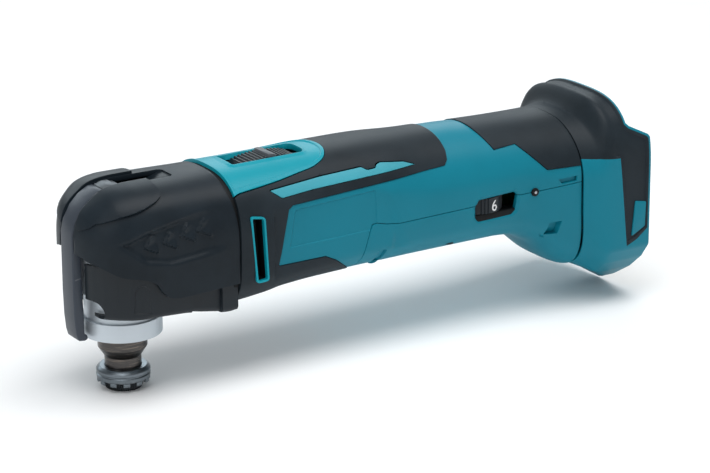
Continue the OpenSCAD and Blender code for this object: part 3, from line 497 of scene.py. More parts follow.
# Presses an outline's area inwards by a depth, with a sloping border.
def sink(bm, outline, depth, border, where=lambda c: True):
    cutAlong(bm, outline, where=where)
    cutAlong(bm, grown(outline, -border), where=where)
    for vert in bm.verts:
        if where(vert.co):
            into = edgeDistance(vert.co.x, vert.co.z, outline)
            if into > 0.001:
                vert.co.y -= math.copysign(depth * min(1.0, into / border), vert.co.y)


# Gives an open skin its wall, inwards, and rounds its rim.
def thicken(bm, wall, edge, merge=0.05):
    bmesh.ops.remove_doubles(bm, verts=bm.verts, dist=merge)
    bmesh.ops.dissolve_degenerate(bm, edges=bm.edges, dist=merge * 0.4)
    outward(bm)
    far = max(bm.faces, key=lambda f: f.calc_center_median().y)
    if far.normal.y < 0:
        bmesh.ops.reverse_faces(bm, faces=bm.faces[:])
    bm.normal_update()
    places = {v: v.co - v.normal * wall for v in bm.verts}
    made = bmesh.ops.extrude_face_region(bm, geom=bm.faces[:], use_keep_orig=True)["geom"]
    fresh = set(g for g in made if isinstance(g, bmesh.types.BMVert))
    for vert in bm.verts:
        if vert not in fresh:
            vert.co = places[vert]
    outward(bm)
    if edge:
        bevelSharp(bm, edge, 55.0)


# A grid whose corners are placed by a rule on u and v from 0 to 1.
def skin(uCount, vCount, place):
    bm = bmesh.new()
    bmesh.ops.create_grid(bm, x_segments=uCount, y_segments=vCount, size=0.5)
    for vert in bm.verts:
        vert.co = place(vert.co.x + 0.5, vert.co.y + 0.5)
    return bm


print("helpers ready")

barrel = {
    "end": 233.4,
    "width": [(44, 31.6), (62, 31.5), (124, 31.3), (150, 30.7), (200, 31.2), (220, 32.6), (236, 33.4)],
    "up": [(44, 32.2), (100, 32.3), (130, 32.2), (157, 31), (175, 30.4), (188, 29.6), (234, 28.3)],
    "down": [(44, 29.5), (62, 28.6), (72, 27.2), (90, 26.6), (190, 26.6), (200, 26.8), (206, 27.9),
             (210.5, 30), (215.3, 32.6), (222.7, 39.8), (230.6, 45.8), (236, 47.6)],
    "upPower": [(44, 2.7), (62, 2.6), (122, 2.5), (150, 2.15), (200, 2.1), (236, 2.1)],
    "downPower": [(44, 3.2), (62, 3), (120, 2.5), (190, 2.5), (212, 3), (236, 3.4)],
    "stepAt": [(40, 141.5), (44.3, 138.7), (54.2, 132.4), (63.3, 130.6), (77, 122.8), (82, 119)],
    "flankFront": 29.3, "flankMiddle": 30.3, "flankRear": 33.2,
    "seam": [(10, 236), (17, 235.4), (47, 232.9), (86, 232.4), (88.8, 230.9)],
}


# How far out the flat side of the barrel may reach.
def barrelFlank(x, z):
    t = smooth((x - curveThrough(z, barrel["stepAt"]) + 6) / 6)
    flank = barrel["flankFront"] + (barrel["flankMiddle"] - barrel["flankFront"]) * t
    rear = smooth((x - 196) / 32)
    flank += (barrel["flankRear"] - barrel["flankMiddle"]) * rear
    if x < 63:
        flank += 2.2 * smooth((66 - x) / 3.5)
    return flank - smooth((57 - z) / 14) * (1.6 if x > 128 else 0.6) * (1 - rear)


def superPoint(turn, wide, high, power):
    s, c = math.sin(math.pi * turn), math.cos(math.pi * turn)
    reach = ((abs(s) / wide) ** power + (abs(c) / high) ** power) ** (-1 / power)
    return reach * s, reach * c


# Turn runs from 0 at the top of the barrel to 1 at the bottom, on the dial's side.
def barrelPoint(x, turn, lift=0):
    half = "up" if turn < 0.5 else "down"
    y, z = superPoint(turn, curveThrough(x, barrel["width"]), curveThrough(x, barrel[half]),
                      curveThrough(x, barrel[half + "Power"]))
    y = softMin(y, barrelFlank(x, axisZ + z), 1.2) + lift * math.sin(math.pi * turn)
    return Vector((x, -max(y, 0), axisZ + z + lift * math.cos(math.pi * turn)))


# Half of the barrel between two stations, with its end on the slanted rear seam.
def barrelSkin(low, high, step=1.15, lift=0, turns=(0, 1)):
    columns = max(2, int((high - low) / step))
    rows = max(4, int(92 * (turns[1] - turns[0]) / step))

    def place(u, v):
        x = low + (high - low) * u
        turn = turns[0] + (turns[1] - turns[0]) * v
        point = barrelPoint(x, turn, lift)
        x += (curveThrough(point.z, barrel["seam"]) - barrel["end"]) * smooth((x - 205) / 25)
        return barrelPoint(x, turn, lift)
    return skin(columns, rows, place)


# Outlines in millimetres: along the tool and up, or across for those on top.
outlineGrip = [
    (44, 96), (44, 20), (104, 20), (107.6, 36.5), (103.6, 39.4), (96.6, 44.6), (90.6, 47.6),
    (66.2, 47.7), (65.7, 48.2), (71, 73.6), (73.2, 75.3), (98, 76.4), (122.4, 77.4),
    (158.6, 78.6), (160.9, 80.5), (162.4, 84), (162.9, 88), (163, 96)]
outlineStripe = roundCorners([
    (63, 83.2), (68.3, 79.3), (85.2, 80.4), (116.7, 81.1), (142.7, 81.7), (136.6, 83.9), (123.9, 85.6),
    (121.3, 85), (120.6, 83.9), (115.8, 83.7), (113.2, 85.3), (90, 84.8)], 0.8)
outlineSlot = roundCorners([(49.7, 74.6), (57.4, 73.2), (59.1, 42.7), (52.5, 42.5)], 1.8, 4)
outlineRearGrip = [
    (183, 96), (184.6, 88), (188.3, 80.6), (201, 81.2), (213.8, 68.4), (240, 67.6), (240, 96)]
outlineLower = [
    (240, 0), (109.5, 0), (110.9, 38), (111.9, 45.3), (114.6, 55.2), (116, 58.2), (118.4, 58.6),
    (124, 57.2), (130, 56.6), (173.6, 57.2), (190, 58.2), (205, 58.6), (240, 60.2)]
outlineWindow = roundCorners([(173.2, 56.4), (175.6, 59.6), (195.9, 60.4), (197.4, 58.6), (196.6, 50.6),
                              (194.4, 49.5), (175.6, 49.3), (173.6, 51)], 0.5)
outlineNotch = [(219.6, 62.8), (230, 63.3), (230, 60.6), (221.4, 60.4)]
outlineLabel = roundCorners([(74.4, 73), (118, 74.8), (118.6, 57.6), (117, 55.8), (71.4, 55.2)], 1.2)
frontPocket = [(119.6, 44.4), (124.8, 44.4), (124.2, 37), (120.6, 37)]
rearPocket = [(215.9, 41.4), (222.3, 41.7), (221, 34.9), (215, 34.6)]
outlinePlate = roundCorners([(44, -26.4), (47, -25.4), (70, -23), (90.9, -19.6), (98.6, -15.6),
                             (103, -8.6), (104.4, 0), (103, 8.6), (98.6, 15.6), (90.9, 19.6),
                             (70, 23), (47, 25.4), (44, 26.4)], 4, 4)
gap = 0.17


def near(c):
    return c.y < 0


def flanks(c):
    return abs(c.y) > 5


# The dial's window, opened on the dial's side with a hollow round it.
window = {"around": 1.4, "depth": 0.9, "border": 1.3}


def openWindow(bm):
    sink(bm, grown(outlineWindow, window["around"]), window["depth"], window["border"], near)
    cutOut(bm, outlineWindow, where=near)


# Teal main shell: all of the barrel that the grips and the lower shell leave.
main = {"start": bandEnd + 0.6, "wall": 2, "edge": 0.18, "label": (0.35, 0.4), "notch": (1.4, 0.3)}
bm = barrelSkin(main["start"], barrel["end"])
others = [grown(outline, gap) for outline in (outlineGrip, outlineRearGrip, outlineLower)]
for outline in others:
    cutAlong(bm, outline)
dropFaces(bm, lambda c: any(inside(c.x, c.z, outline) for outline in others))
sink(bm, outlineLabel, *main["label"])
mirrorAndClose(bm)
sink(bm, outlineNotch, *main["notch"], flanks)
openWindow(bm)
thicken(bm, main["wall"], main["edge"])
finishPiece("mainShell", bm, teal, replaces=("main_housing",), slot="teal_plastic")
print("main shell made")

# Teal lower shell, with the foot that grows down to the mount.
lower = {"start": 108, "turns": (0.4, 1), "border": 0.45, "pockets": ((frontPocket, 1.6), (rearPocket, 3.2))}
bm = barrelSkin(lower["start"], barrel["end"], turns=lower["turns"])
keepInside(bm, grown(outlineLower, -gap))
for pocket, depth in lower["pockets"]:
    sink(bm, pocket, depth, lower["border"], flanks)
mirrorAndClose(bm)
openWindow(bm)
thicken(bm, main["wall"], main["edge"])
finishPiece("lowerShell", bm, teal, replaces=("lower_housing",), slot="teal_plastic")
print("lower shell made")

# Charcoal front grip: band, strip over the side panel and the patch below it, in one moulding.
grip = {"start": 44.85, "end": 164.5, "rearStart": 181, "lift": 0.45, "wall": 2.2, "edge": 0.22}
bm = barrelSkin(grip["start"], grip["end"], lift=grip["lift"])
gripArea, stripeHole = grown(outlineGrip, -gap), grown(outlineStripe, gap)
for outline in (gripArea, stripeHole, outlineSlot):
    cutAlong(bm, outline)
dropFaces(bm, lambda c: not inside(c.x, c.z, gripArea) or inside(c.x, c.z, stripeHole)
          or inside(c.x, c.z, outlineSlot))
mirrorAndClose(bm)


def onTop(c):
    return c.z > axisZ + 14


cutOut(bm, grown(outlinePlate, gap), "XY", where=onTop)
thicken(bm, grip["wall"], grip["edge"])
finishPiece("frontGrip", bm, charcoal, replaces=("front_band", "front_grip"), slot="charcoal_rubber")
print("front grip made")

# Rear grip over the top of the barrel.
bm = barrelSkin(grip["rearStart"], barrel["end"], lift=grip["lift"], turns=(0, 0.5))
keepInside(bm, grown(outlineRearGrip, -gap))
mirrorAndClose(bm)
thicken(bm, grip["wall"], grip["edge"])
finishPiece("rearGrip", bm, charcoal, replaces=("rear_grip",), slot="charcoal_rubber")

# Accent stripe let into the front grip on each side.
stripe = {"start": 60, "end": 146, "step": 0.9, "lift": 0.75, "turns": (0.12, 0.45), "wall": 2, "edge": 0.35}
bm = barrelSkin(stripe["start"], stripe["end"], stripe["step"], stripe["lift"], stripe["turns"])
keepInside(bm, grown(outlineStripe, -gap))
mirrorCopy(bm)
thicken(bm, stripe["wall"], stripe["edge"])
finishPiece("accentStripe", bm, stripeTeal, slot="teal_plastic")
print("grips and stripe made")

# Exhaust slots in the band: a lining in the teal with painted top light, then a near-black well and a screen
# behind it, painted shade inside the slots.
vent = {"rim": 0.9, "inset": 1.2, "deep": 24, "lip": 29.6, "proud": 31.7, "screen": 24.6}
for name, low, high, finish, slot in (
        ("slotLining", vent["lip"], vent["proud"], paintedLightTeal, "teal_plastic"),
        ("slotWell", vent["deep"], vent["lip"], deepBlack, "black_plastic")):
    bm = slab(outlineSlot, low, high)
    bmesh.ops.delete(bm, geom=[f for f in bm.faces if abs(f.normal.y) > 0.9], context="FACES_ONLY")
    outward(bm)
    bmesh.ops.solidify(bm, geom=bm.faces[:], thickness=vent["rim"])
    outward(bm)
    mirrorCopy(bm)
    finishPiece(name, bm, finish, slot=slot)
# Near-black screen closing the slots: painted shade where the slots run into the dark inside of the tool.
bm = slab(grown(outlineSlot, -vent["inset"]), vent["deep"], vent["screen"])
mirrorCopy(bm)
finishPiece("slotShadeScreen", bm, deepBlack, slot="black_plastic")

# Dark rings behind the seams: at the band's front a near-black ring that paints the shade in the seam's gap, and
# at the battery mount the seam gasket.
seams = {"inset": -1, "wall": 1, "front": (42.4, 48), "rear": (230.4, 234.6)}
for name, ends, replaced in (("seamRing", seams["front"], ()),
                             ("seamGasket", seams["rear"], ("seam_gasket",))):
    bm = barrelSkin(*ends, lift=seams["inset"])
    mirrorAndClose(bm)
    thicken(bm, seams["wall"], 0)
    finishPiece(name, bm, deepBlack, replaces=replaced, slot="black_rubber")

# Battery mount: the barrel's end opens out to the width of the battery, over a keeled foot.
mount = {
    "width": [(231, 33.6), (234, 34.4), (237, 36), (242, 37.6), (250, 38.7), (257, 38.95), (270, 38.95)],
    "up": [(231, 28.5), (240.6, 28.8), (242.6, 30.6), (244.4, 34), (246.2, 36.3), (248, 37),
           (257, 37.2), (270, 37.2)],
    "upPower": [(231, 2.1), (241, 2.2), (248, 3), (257, 3.1)], "end": 269.9,
    "vee": [(39, 59.5), (39, 23.3), (33.6, 15.7), (24.6, 7.8), (11.8, -0.1), (0, -4.9)],
    "deep": 46.6, "keelStart": 248, "keelTop": 9.2, "keelSlope": 0.65,
    "wall": 2.6, "edge": 0.3, "sink": 0.9, "sinkFrom": 0.6, "sinkTo": 1.4, "hoodEdge": 0.1,
}
outlineRear = [(269.8, -20), (269.8, 77.4), (268.8, 78.8), (258.6, 83.9), (257.2, 85.4), (257, 110),
               (200, 110), (200, -20)]
outlineHood = [(220, 71.4), (251.6, 69.6), (256.4, 24.4), (262.4, 27), (268.8, 31.8), (268.8, 76.9),
               (267.9, 78), (257.9, 83), (256.2, 84.9), (256.1, 110), (220, 110)]
outlineBadge = roundCorners([(261.4, 46.4), (267.8, 45.2), (267.4, 32.8), (259.6, 28.9)], 0.6)


def mountPoint(x, turn):
    wide = curveThrough(x, mount["width"])
    if turn < 0.5:
        y, z = superPoint(turn, wide, curveThrough(x, mount["up"]), curveThrough(x, mount["upPower"]))
        z += axisZ
    else:
        y, z = superPoint(turn, wide, mount["deep"], 3.4)
        veeY, veeZ = walkAlong(mount["vee"], (turn - 0.5) * 2)
        veeZ = max(veeZ, mount["keelTop"] - mount["keelSlope"] * max(0, x - mount["keelStart"]))
        t = smooth((x - 235) / 13)
        y += (veeY * wide / 39 - y) * t
        z = axisZ + z + (veeZ - axisZ - z) * t
    return Vector((x, -max(y, 0), z))


def mountSkin():
    def place(u, v):
        start = curveThrough(mountPoint(236, v).z, barrel["seam"]) + 0.55
        return mountPoint(start + (mount["end"] - start) * u ** 1.1, v)
    return skin(38, 116, place)


bm = mountSkin()
keepInside(bm, outlineRear, 6)
cutAlong(bm, outlineHood)
hood = bm.copy()
dropFaces(bm, lambda c: inside(c.x, c.z, outlineHood))
mirrorAndClose(bm)
thicken(bm, mount["wall"], mount["edge"])
for vert in bm.verts:
    vert.co.x = min(vert.co.x, mount["end"])
finishPiece("mountShell", bm, teal, replaces=("mount_housing", "side_panels"), slot="teal_plastic")
dropFaces(hood, lambda c: not inside(c.x, c.z, outlineHood))
for reach in (mount["sinkFrom"], mount["sinkTo"]):
    cutAlong(hood, grown(outlineHood, -reach))
for vert in hood.verts:
    into = mount["sink"] * smooth((edgeDistance(vert.co.x, vert.co.z, outlineHood) - mount["sinkFrom"]) / 0.8)
    into *= smooth((vert.co.x - 246) / 5)
    away = Vector((0, vert.co.y, max(0, vert.co.z - axisZ))).normalized()
    vert.co -= away * into
mirrorAndClose(hood)
thicken(hood, mount["wall"], mount["hoodEdge"])
finishPiece("mountHood", hood, charcoal, replaces=("mount_hood",), slot="charcoal_rubber")

# Bare badge plates on the mount's sides.
badge = {"deep": 36.6, "proud": 38.7, "edge": 0.35}
bm = slab(outlineBadge, badge["deep"], badge["proud"], badge["edge"])
mirrorCopy(bm)
finishPiece("badgePlates", bm, teal, replaces=("badge_plates",), slot="teal_plastic")
print("mount made")

# Head cover: a tapered hood over the gear case, with side recesses and grip marks.
head = {
    "front": -26.1, "half": 31, "planPower": 2.2, "planLength": 29.6, "end": 44.2,
    "top": [(-27, 71), (-26.2, 73), (-25.5, 75.2), (-24.6, 78.2), (-22.5, 82.2), (-17.1, 87),
            (-11.5, 90.4), (-6, 91.5), (0, 91.9), (45, 91.6)],
    "low": [(-28, 66), (-24, 62.5), (-20.6, 60.7), (-13.1, 56.5), (-3.2, 54.4), (2, 51.6),
            (5.2, 47.2), (9, 43.9), (15.6, 43), (45, 43.9)],
    "power": [(-27.3, 3.2), (-10, 3.2), (10, 3.1), (45, 2.75)],
    "seam": [(42, 44.4), (66.4, 44.2), (80, 43), (86.6, 41.9), (92, 42.1)],
    "recess": [(43, 84.6), (20, 80.6), (-2, 76.8), (-15.2, 71.3), (-9, 66), (-3, 61.6),
               (9.5, 58.6), (25, 59.6), (43, 62)],
    "recessDepth": 2.1, "recessBorder": 3.2,
    "marks": [(-2.8, 69), (6.7, 69.4), (15.6, 71.2), (24.1, 72)], "markHeight": 1.5,
    "wall": 2.2, "edge": 0.3, "slotHalf": 6.1, "slotEnd": 25,
}


# Height of the arrow-shaped grip marks at a point of the recess.
def gripMark(x, z):
    height = 0
    for mx, mz in head["marks"]:
        px, pz = x - mx, z - mz
        if -1.5 < px < 8 and -6 < pz < 6.5:
            inner = min((px * 4.9 - pz * 3) / 5.75, (px * 3.5 + pz * 6.9) / 7.74)
            if inner > -0.35:
                ends = smooth((5.4 - pz) / 1.2) * smooth(pz + 4.6) * smooth((7.4 - px) / 1.2)
                height = max(height, min(1, (inner + 0.35) / 0.5) * max(0, 1 - inner / 3.2) * ends)
    return height * head["markHeight"]


# Turn runs from 0 at the top to 1 at the cover's lower edge, on the dial's side.
def headPoint(x, turn, lift=0):
    plan = max(0, (3 - x) / head["planLength"])
    wide = head["half"] * (1 - plan ** head["planPower"]) ** (1 / head["planPower"])
    low = curveThrough(x, head["low"])
    middle = max(60, low + 2.5)
    side = min(1, turn / 0.62)
    y, z = superPoint(side / 2, wide, curveThrough(x, head["top"]) - middle, curveThrough(x, head["power"]))
    z += middle
    if turn > 0.62:
        z += (low - middle) * (turn - 0.62) / 0.38
    sideways = smooth((y - wide + 4.5) / 3.5)
    into = edgeDistance(x, z, head["recess"])
    if into > 0:
        fade = smooth((41 - x) / 16)
        y += (gripMark(x, z) - head["recessDepth"] * smooth(into / head["recessBorder"]) * fade) * sideways
    if z < 60:
        y -= 0.02 * (60 - z)
    y += lift * math.sin(math.pi * side / 2)
    return Vector((x, -max(y, 0), z + lift * math.cos(math.pi * side / 2)))


def headSkin(high, columns, rows, lift=0, turns=(0, 1)):
    low = head["front"]

    def place(u, v):
        x = low + (high - low) * (u * u * (1.45 - 0.45 * u) + u * (1 - u) * 0.25)
        point = headPoint(x, turns[0] + (turns[1] - turns[0]) * v, lift)
        if u < 0.001:
            point.y = max(point.y, -head["slotHalf"] - 0.4)
        point.x += (curveThrough(point.z, head["seam"]) - 44.2) * smooth((x - 30) / 14)
        return point
    return skin(columns, rows, place)


half = head["slotHalf"]
leverSlot = [(-40, -half), (head["slotEnd"] - 1.5, -half), (head["slotEnd"], 1.5 - half),
             (head["slotEnd"], half - 1.5), (head["slotEnd"] - 1.5, half), (-40, half)]
bm = headSkin(head["end"], 112, 108)
mirrorAndClose(bm)
cutOut(bm, leverSlot, "XY", 1, lambda c: c.z > 55)
thicken(bm, head["wall"], head["edge"], 0.03)
finishPiece("headCover", bm, coverBlack, replaces=("head_cover",), slot="charcoal_rubber")
print("head cover made")

# Raised cheek pads on both sides of the lever.
pads = {"end": 14, "lift": 1.4, "wall": 2, "edge": 0.7, "clear": 0.5}
outlinePad = [(-30, 75), (-25.6, 75.4), (-21, 80.2), (-12, 83.6), (-1, 86), (6.4, 88),
              (9.6, 89.4), (10.8, 91), (10.8, 99), (-30, 99)]
bm = headSkin(pads["end"], 64, 64, pads["lift"], (0, 0.6))
keepInside(bm, outlinePad)
stripEdge = -half - pads["clear"]
middleStrip = [(-40, stripEdge), (40, stripEdge), (40, 10), (-40, 10)]
cutOut(bm, middleStrip, "XY", 1)
mirrorCopy(bm)
thicken(bm, pads["wall"], pads["edge"], 0.03)
finishPiece("cheekPads", bm, coverBlack, slot="charcoal_rubber")

# Ramp that closes the rear of the lever's slot.
ramp = {"half": 7.6, "edge": 0.35,
        "side": [(17.8, 80), (17.8, 88.4), (18.6, 89), (25.2, 91.2), (27.5, 90.8), (27.5, 80)]}
bm = slab(ramp["side"], -ramp["half"], ramp["half"], ramp["edge"])
finishPiece("slotRamp", bm, black, slot="black_plastic")

# Neck cover under the hood, open at the front where the collar shows.
neck = {
    "plan": [(-21.6, -7.2), (-21.4, -9.4), (-20.2, -12.4), (-17.4, -16.8), (-13.2, -21), (-8, -24.8),
             (-2, -27.3), (4, -28.2), (12, -28.4), (44.4, -28.4)],
    "low": [(-22, 33.8), (-17, 33.8), (-5, 34), (2.2, 34.4), (17.4, 33.8), (30, 31.6), (41, 30.1),
            (44.5, 30.4)],
    "panelLook": (-0.35, 0.4), "pocketLook": (1.8, 0.5),
    "top": 59, "fillet": 2.6, "wall": 1.6, "edge": 0.35, "hole": 18.6,
    "notch": roundCorners([(-40, 42.7), (-19.4, 42.7), (-17.3, 39), (-17, 20), (-40, 20)], 2.4, 5),
    "panel": [(-6.9, 38), (-6.3, 48.4), (-5, 50.2), (-3, 51), (-1, 50.2), (0.2, 48.4), (0.6, 37.2)],
    "pocket": roundCorners([(21, 28), (21, 43), (36.4, 43), (36.4, 28)], 1),
}


def neckPlace(u, v):
    x, y = walkAlong(neck["plan"], u)
    low = curveThrough(x, neck["low"])
    if v < 0.55:
        return Vector((x, y, neck["top"] + (low + neck["fillet"] - neck["top"]) * v / 0.55))
    if v < 0.7:
        angle = (v - 0.55) / 0.15 * math.pi / 2
        inward = neck["fillet"] * (1 - math.cos(angle))
        return Vector((x + inward * smooth((8 - x) / 25), y + inward,
                       low + neck["fillet"] * (1 - math.sin(angle))))
    t = (v - 0.7) / 0.3
    return Vector((x + neck["fillet"] * smooth((8 - x) / 25), (y + neck["fillet"]) * (1 - t), low))


bm = skin(84, 72, neckPlace)
sink(bm, neck["panel"], *neck["panelLook"], flanks)
sink(bm, neck["pocket"], *neck["pocketLook"], lambda c: c.y < -14)
mirrorAndClose(bm)
cutOut(bm, neck["notch"])
cutAlong(bm, circle(neck["hole"], 64), "XY", 1.5, lambda c: c.z < 37)
dropFaces(bm, lambda c: math.hypot(c.x, c.y) < neck["hole"] and c.z < 37)
thicken(bm, neck["wall"], neck["edge"], 0.03)
finishPiece("neckCover", bm, black, replaces=("neck_cover",), slot="black_plastic")
print("neck cover made")

# Clamp lever, with its bright cam and the joint line on its arm.
lever = {"half": 5.5, "edge": 0.75, "camHalf": 4.4, "camEdge": 0.3, "seamProud": 0.02,
         "seam": [(-25.6, 51.1), (-25.6, 51.7), (-22.4, 52.2), (-22.4, 51.6)],
         "side": [(-8.4, 84), (-8.4, 89.8), (-10, 90.8), (-12.6, 90.6), (-17.4, 88), (-21.8, 83.6),
                  (-25.2, 77.6), (-26.5, 71.6), (-26.6, 45), (-26.3, 33), (-25.6, 26), (-24.6, 22.4), (-21.3, 22),
                  (-19.9, 22.8), (-20.2, 24.6), (-21.5, 25.2), (-21.5, 30), (-21.9, 45), (-22, 68),
                  (-20.8, 75), (-18, 80), (-14, 83.4)]}
bm = slab(lever["side"], -lever["half"], lever["half"], lever["edge"], segments=3)
finishPiece("clampLever", bm, leverGrey, "clamp_lever", ("clamp_lever",), "lever_plastic")
seamHalf = lever["half"] + lever["seamProud"]
bm = slab(lever["seam"], -seamHalf, seamHalf)
finishPiece("leverSeam", bm, knobGrey, "clamp_lever", (), "lever_plastic")
camSide = roundCorners([(-10.4, 86), (-9.9, 91), (-6.4, 92), (-3, 92), (-2.4, 91.2), (-0.6, 91.2),
                        (0, 90.2), (4.4, 86.2), (4.4, 81.6), (2.4, 79.6), (-2, 79.6), (-5, 81.4)], 0.5)
bm = slab(camSide, -lever["camHalf"], lever["camHalf"], lever["camEdge"])
finishPiece("leverCam", bm, camSteel, "clamp_lever", ("lever_cam",), "bearing_steel")
print("lever made")

# Tool flange with its teeth, and the knurled head of the clamp bolt.
flange = {
    "profile": [(9.2, -0.7), (11.7, -0.7), (12.2, -0.2), (12.35, 1.4), (11.9, 1.8), (11.9, 2.2), (12.3, 2.6),
                (12.3, 3.7), (11.9, 4.3), (10.7, 5.2), (8.6, 5.2), (8.5, 4.6), (8.5, 0.2), (9.2, 0)],
    "teeth": 12, "toothIn": 10.2, "toothOut": 12.1, "toothLow": -2.3, "toothHigh": -0.4,
    "toothTurn": 7.5, "toothStart": 9, "toothEdge": 0.25,
}
bm = spinPiece(flange["profile"], 120)
for k in range(flange["teeth"]):
    middle = k * 360 / flange["teeth"] + flange["toothStart"]
    corners = []
    for radius, turns in ((flange["toothIn"], (-1, 0, 1)), (flange["toothOut"], (1, 0, -1))):
        for t in turns:
            corners.append(polar(radius, math.radians(middle + t * flange["toothTurn"])))
    tooth = slab(corners, flange["toothLow"], flange["toothHigh"], flange["toothEdge"], "Z", angle=50)
    pour(tooth, bm)
finishPiece("toolFlange", bm, flangeSteel, "spindle", ("tool_flange",), "flange_steel")

bolt = {"knurls": 54, "radius": 8.45, "tooth": 0.3, "low": -5.4, "high": -1.2, "twist": 0.09,
        "stem": [(0, -1.6), (8, -1.6), (8, -1), (4, -0.9), (4, 30), (4, 43), (0, 43)]}
knurl = []
for k in range(bolt["knurls"] * 2):
    radius = bolt["radius"] + (bolt["tooth"] if k % 2 else 0)
    knurl.append(polar(radius, k * math.pi / bolt["knurls"]))
bm = spinPiece(bolt["stem"], 64)
knurled = slab(knurl, bolt["low"], bolt["high"], axis="Z")
upright = [e for e in knurled.edges if abs(e.verts[0].co.z - e.verts[1].co.z) > 1]
bmesh.ops.subdivide_edges(knurled, edges=upright, cuts=4, use_grid_fill=True)
for vert in knurled.verts:
    turned = Matrix.Rotation((vert.co.z - bolt["low"]) * bolt["twist"] / 2, 3, "Z") @ vert.co
    edgeIn = 0.94 if vert.co.z < bolt["low"] + 0.2 or vert.co.z > bolt["high"] - 0.2 else 1
    vert.co = Vector((turned.x * edgeIn, turned.y * edgeIn, turned.z))
pour(knurled, bm)
finishPiece("clampBolt", bm, blackSteel, "clamp_bolt", ("clamp_bolt",), "black_steel", 20)
print("spindle end made")

# Clamp spring between the collet and the thrust pin's head, which it follows.
coil = {"low": 44.35, "high": 55.95, "radius": 4.9, "wire": 0.55, "turns": 5, "steps": 24,
        "sides": 10, "travel": 2.2}
springLength = coil["high"] - coil["low"]
bm = bmesh.new()
springRings = []
for i in range(round(coil["turns"] * coil["steps"]) + 1):
    angle = 2 * math.pi * i / coil["steps"]
    rise = i / (coil["turns"] * coil["steps"])
    height = coil["low"] + coil["wire"] + rise * (springLength - 2 * coil["wire"])
    ring = []
    for k in range(coil["sides"]):
        across = 2 * math.pi * k / coil["sides"]
        reach = coil["radius"] + coil["wire"] * math.cos(across)
        ring.append(bm.verts.new((*polar(reach, angle), height + coil["wire"] * math.sin(across))))
    springRings.append(ring)
for before, after in zip(springRings, springRings[1:]):
    for k in range(coil["sides"]):
        bm.faces.new((before[k - 1], before[k], after[k], after[k - 1]))
bm.faces.new(springRings[0])
bm.faces.new(springRings[-1])
outward(bm)
clampSpring = finishPiece("clampSpring", bm, brightSteel, "thrust_pin", ("clamp_spring",), "bearing_steel")
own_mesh(clampSpring)
print("clamp spring made")

# Switch plate on top, with its raised rim and the knob's window, in the teal lightened with painted top light.
plate = {"end": 106, "step": 1, "lift": 0.15, "rim": 0.5, "wall": 2.6, "edge": 0.45,
         "border": 1.6, "slope": 0.5, "lip": 1.3}
plateWindow = roundCorners([(54.6, -7.6), (91.6, -7.6), (93.4, -5), (93.4, 5), (91.6, 7.6), (54.6, 7.6)], 1.2)
bm = barrelSkin(grip["start"], plate["end"], plate["step"], plate["lift"] + plate["rim"], (0, 0.45))
mirrorAndClose(bm)
plateArea = grown(outlinePlate, -gap)
cutAlong(bm, plateArea, "XY")
cutAlong(bm, plateWindow, "XY")
dropFaces(bm, lambda c: not inside(c.x, c.y, plateArea) or inside(c.x, c.y, plateWindow))
floorArea = grown(outlinePlate, -plate["border"])
for reach in (0, -plate["slope"]):
    cutAlong(bm, grown(floorArea, reach), "XY")
for vert in bm.verts:
    into = edgeDistance(vert.co.x, vert.co.y, floorArea)
    around = -edgeDistance(vert.co.x, vert.co.y, plateWindow)
    if into > 0.001:
        vert.co.z -= plate["rim"] * min(1, into / plate["slope"])
    if around < plate["lip"]:
        vert.co.z += plate["rim"] * smooth((plate["lip"] - around) / plate["slope"])
thicken(bm, plate["wall"], plate["edge"])
finishPiece("switchPlate", bm, paintedLightTeal, replaces=("switch_plate",), slot="teal_plastic")

# Slide knob: two runs of fine ribs with a pale wedge between them.
knob = {"low": knobBox[0].x / mm + 0.3, "high": knobBox[1].x / mm - 0.2, "bottom": 86.4, "half": 6.3,
        "shoulder": 88.9, "base": 90.6, "ridge": 92.9, "pitch": 1.9, "rib": 0.75, "ribTop": (0.35, 1.05),
        "ribWide": 1.4, "edge": 0.16}
knobSide = [(knob["low"], knob["bottom"]), (knob["low"], knob["shoulder"])]
x = knob["low"] + 1
while x < knob["high"] - knob["ribWide"]:
    rise = math.sin(math.pi * (x - knob["low"]) / (knob["high"] - knob["low"])) ** 0.6
    height = knob["base"] - 0.6 + (knob["ridge"] - knob["base"]) * rise
    knobSide += [(x, height - knob["rib"]), *[(x + along, height) for along in knob["ribTop"]],
                 (x + knob["ribWide"], height - knob["rib"])]
    x += knob["pitch"]
knobSide += [(knob["high"], knob["shoulder"]), (knob["high"], knob["bottom"])]
bm = slab(knobSide, -knob["half"], knob["half"], knob["edge"], segments=1)
finishPiece("switchKnob", bm, black, "slide_switch", ("switch_knob",), "black_plastic")
wedge = {"side": [(73.6, 89), (74.4, 93.3), (76, 93.4), (78.6, 92.7), (79, 89)],
         "half": knob["half"] + 0.1, "edge": 0.3}
bm = slab(wedge["side"], -wedge["half"], wedge["half"], wedge["edge"])
finishPiece("knobWedge", bm, knobGrey, "slide_switch", (), "black_plastic")

# Thin dust shutter that the knob drags along under its window.
shutter = {"plan": roundCorners([(53.6, -6.3), (96.4, -6.3), (96.4, 6.3), (53.6, 6.3)], 1),
           "low": 86.3, "high": 86.8, "edge": 0.1}
bm = slab(shutter["plan"], shutter["low"], shutter["high"], shutter["edge"], "Z")
finishPiece("knobShutter", bm, black, "slide_switch", (), "black_plastic")
print("switch made")

